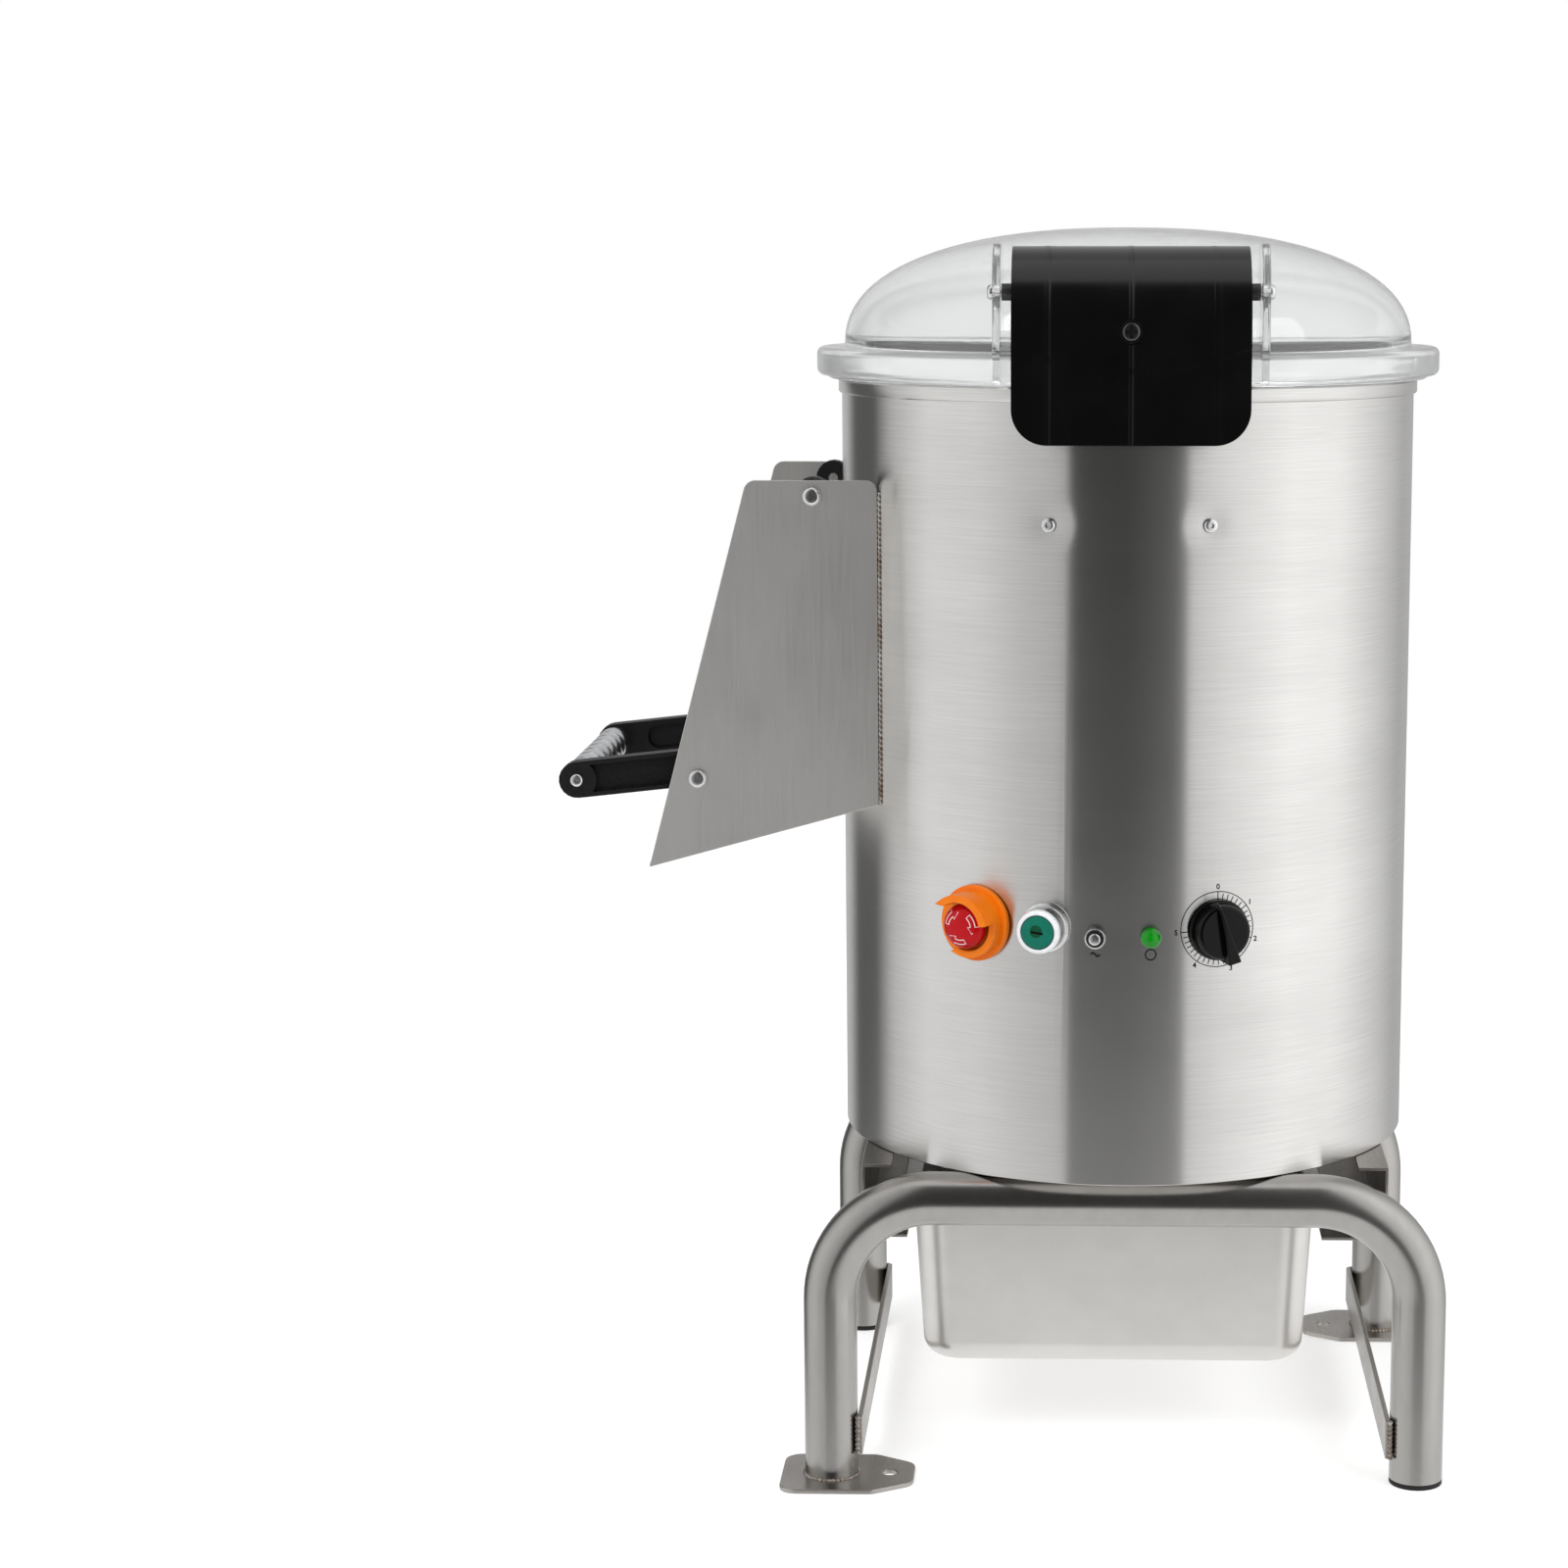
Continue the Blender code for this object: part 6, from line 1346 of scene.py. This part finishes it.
# Lamp
LENS_RADIUS = 0.006
LENS_BASE = 0.0016
LENS_TOP = 0.007
LENS_FOOT = ((0.004, -0.014), (0.004, SEAT), (LENS_RADIUS, SEAT), (LENS_RADIUS, LENS_BASE))
# Timer
KNOB_RADIUS = 0.0178
KNOB_BODY_RADIUS = 0.016
KNOB_HEIGHT = 0.013
KNOB_ROUND = 0.0026
KNOB_FOOT = ((0.003, -0.020), (0.003, 0.001), (KNOB_RADIUS - 0.0004, 0.001),
             (KNOB_RADIUS, 0.0014), (KNOB_RADIUS, 0.0034), (KNOB_RADIUS - 0.0006, 0.004),
             (KNOB_BODY_RADIUS, 0.0043))
KNOB_FACE = (0.0005, KNOB_HEIGHT - 0.0004)
KNOB_POINTS_TO = -75.0
BLADE_FOOT = 0.0024
BLADE_SKIRT = 0.0030
BLADE_EDGE = 0.0008
# Sections of the blade from its tail to its tip: place along it, half width, top, skirted or not
BLADE = ((-0.0168, 0.0007, 0.0140, 1), (-0.0150, 0.0008, 0.0166, 1), (-0.0100, 0.0010, 0.0184, 1),
         (0.0, 0.0017, 0.0190, 1), (0.0080, 0.0027, 0.0190, 1), (0.0180, 0.0040, 0.0184, 0))


def fitted(name, shape, finish, node, beside=False, bevel=0.0):
    """A piece drawn in the frame of the control that its name starts with."""
    place = DRUM_PLACE @ panel_frame(*CONTROLS[name.split("_")[0]])
    piece(name, shape, finish, node, beside, place, bevel)


def eased(radius, top, edge, steps, end=90):
    """The rounded upper edge of a cylinder."""
    return arc((radius - edge, top - edge), edge, 0, end, steps)


def guard_outline(start, end):
    """Part of the ring round the stop button, drawn out to a beak where it ends."""
    tip = math.radians(end + math.copysign(BEAK_LEAD, end - start))
    outline = arc((0, 0), GUARD_OUTER, start, end, GUARD_STEPS)
    outline.append((BEAK_REACH * math.cos(tip), BEAK_REACH * math.sin(tip)))
    return outline + arc((0, 0), GUARD_INNER, end, start, GUARD_STEPS)


def arrow_outline(turn):
    """One curved arrow, drawn flat: a band that ends in a broad head, clockwise."""
    neck, tip = turn - ARROW_NECK, turn - ARROW_TIP
    outline = arc((0, 0), ARROW_RADIUS + ARROW_HALF, turn, neck, 10)
    for aside, angle in ((ARROW_WING, neck), (0, tip), (-ARROW_WING, neck)):
        reach = ARROW_RADIUS + aside
        outline.append((reach * math.cos(math.radians(angle)),
                        reach * math.sin(math.radians(angle))))
    return outline + arc((0, 0), ARROW_RADIUS - ARROW_HALF, neck, turn, 10)


def crown_height(x, y=0.0):
    """The mushroom's rounded top at one place across it."""
    share = min(0.999, math.hypot(x, y) / MUSHROOM_RADIUS)
    rise = CROWN_FOOT + (1 - CROWN_FOOT) * (1 - share ** CROWN_POWER) ** 0.5
    return MUSHROOM_LOW + MUSHROOM_HEIGHT * rise


def arrow_height(x, y):
    """The arrows' height on the mushroom's top."""
    return crown_height(x, y) + PRINT_LIFT


def dress_estop():
    """Orange shroud with its guard, red mushroom with its three arrows."""
    profile = [*SHROUD_FOOT, *eased(SHROUD_RADIUS, SHROUD_TOP, SHROUD_EDGE, 5),
               (STEM_BORE, SHROUD_TOP)]
    fitted("estop_base", turned(profile, 96, closed=True), "guard", "estop_shroud")
    for name, start, end, top in GUARDS:
        wall = prism(guard_outline(start, end), SHROUD_TOP - GUARD_SUNK, top)
        fitted("estop_" + name, wall, "guard", "estop_shroud", True, bevel=GUARD_EDGE)
    profile = list(MUSHROOM_FOOT)
    for k in range(MUSHROOM_STEPS):
        r = MUSHROOM_RADIUS * math.cos(math.radians(90 * k / MUSHROOM_STEPS))
        profile.append((r, crown_height(r)))
    profile.append((CENTRE, crown_height(0)))
    fitted("estop_head", turned(profile, 72), "stop", "estop_mushroom")
    marks = [band(arrow_outline(turn), ARROW_LINE, height=arrow_height) for turn in ARROW_TURNS]
    fitted("estop_arrows", merged(*marks), "pale_ink", "estop_mushroom", True)


def dress_start():
    """Start button: barrel, bright ring, seal, green cap, and the patch and dark bar on it."""
    fitted("start_barrel", turned(BARREL, 72, closed=True), "fastener", "start_bezel")
    profile = [(BEZEL_BORE, BEZEL_LOW + SEAT), (BEZEL_RADIUS, BEZEL_LOW + SEAT)]
    profile += eased(BEZEL_RADIUS, BEZEL_TOP, BEZEL_ROUND, 8)
    profile += arc((BEZEL_BORE + BEZEL_LIP, BEZEL_TOP - BEZEL_LIP), BEZEL_LIP, 90, 180, 4)
    fitted("start_ring", turned(profile, 72, closed=True), "bezel", "start_bezel", True)
    fitted("start_seal", tube(*SEAL, 64), "rubber", "start_bezel", True)
    profile = [*CAP_FOOT, *eased(CAP_RADIUS, CAP_TOP, CAP_EDGE, 6, 80), (CAP_CENTRE, CAP_TOP)]
    fitted("start_face", turned(profile, 64), "start", "start_cap")
    high = CAP_TOP + PRINT_LIFT
    middle = high - PRINT_DEPTH
    patch = prism(circle(PATCH_RADIUS, 40, PATCH_AT), middle - PRINT_DEPTH, middle)
    fitted("start_patch", patch, "start_mark", "start_cap", True)
    bar = prism(rectangle(BAR_HALF, -BAR_THICK, BAR_THICK), middle, high)
    fitted("start_bar", moved(bar, Matrix.Rotation(math.radians(BAR_LEAN), 4, "Z")), "ink",
           "start_cap", True)


def dress_reset():
    """Reset plunger in its bright collar, with a dark ring between them."""
    profile = [*NUT_FOOT, *eased(NUT_RADIUS, NUT_TOP, NUT_EDGE, 5), *NUT_MOUTH]
    fitted("reset_nut", turned(profile, 48, closed=True), "fastener", "reset_collar")
    fitted("reset_dark_ring", turned(DARK_RING, 40, closed=True), "rubber", "reset_collar", True)
    profile = [(PLUNGER_RADIUS, -PLUNGER_TOP),
               *eased(PLUNGER_RADIUS, PLUNGER_TOP, PLUNGER_EDGE, 5, 80), (CENTRE, PLUNGER_TOP)]
    fitted("reset_plunger", turned(profile, 40), "fastener", "reset_button")


def dress_lamp():
    """Green lens."""
    dome = arc((0, LENS_BASE), LENS_RADIUS, 4, 86, 12, LENS_TOP - LENS_BASE)
    fitted("lamp_lens", turned([*LENS_FOOT, *dome]), "lens", "run_lamp")


def dress_timer():
    """Knob with its blade, which widens to its tip and slopes down at its tail."""
    profile = [*KNOB_FOOT, *eased(KNOB_BODY_RADIUS, KNOB_HEIGHT, KNOB_ROUND, 8), KNOB_FACE]
    fitted("timer_knob_body", turned(profile, 96), "knob", "timer_knob")
    rings = []
    for along, half, top, skirted in BLADE:
        foot = half + BLADE_SKIRT * skirted
        rings.append([(along, -foot, BLADE_FOOT), (along, foot, BLADE_FOOT), (along, half, top),
                      (along, -half, top)])
    blade = moved(skin(rings), Matrix.Rotation(math.radians(KNOB_POINTS_TO), 4, "Z"))
    fitted("timer_knob_blade", blade, "knob", "timer_knob", True, bevel=BLADE_EDGE)


# Small bolt head under the drum, at the middle of the front bar
BASE_BOLT_AT = (-0.004, -0.112)
BASE_BOLT_RADIUS = 0.0042
BASE_BOLT_DROP = 0.0035
BASE_BOLT_EDGE = 0.0003


def dress_all():
    """Every group of pieces in turn."""
    for finish, bevel, names in KEPT_SHAPES:
        for name in names:
            dress(name, finish, bevel)
    dress_stand()
    dress_drum()
    dress_pan()
    dress_chute()
    dress_door()
    dress_lid()
    dress_latch()
    dress_estop()
    dress_start()
    dress_reset()
    dress_lamp()
    dress_timer()
    print_marks()
    hexagon = circle(BASE_BOLT_RADIUS, 6, BASE_BOLT_AT)
    piece("base_bolt", prism(hexagon, DRUM_BOTTOM - BASE_BOLT_DROP, DRUM_BOTTOM), "fastener",
          "base_plate", True, bevel=BASE_BOLT_EDGE)


dress_all()
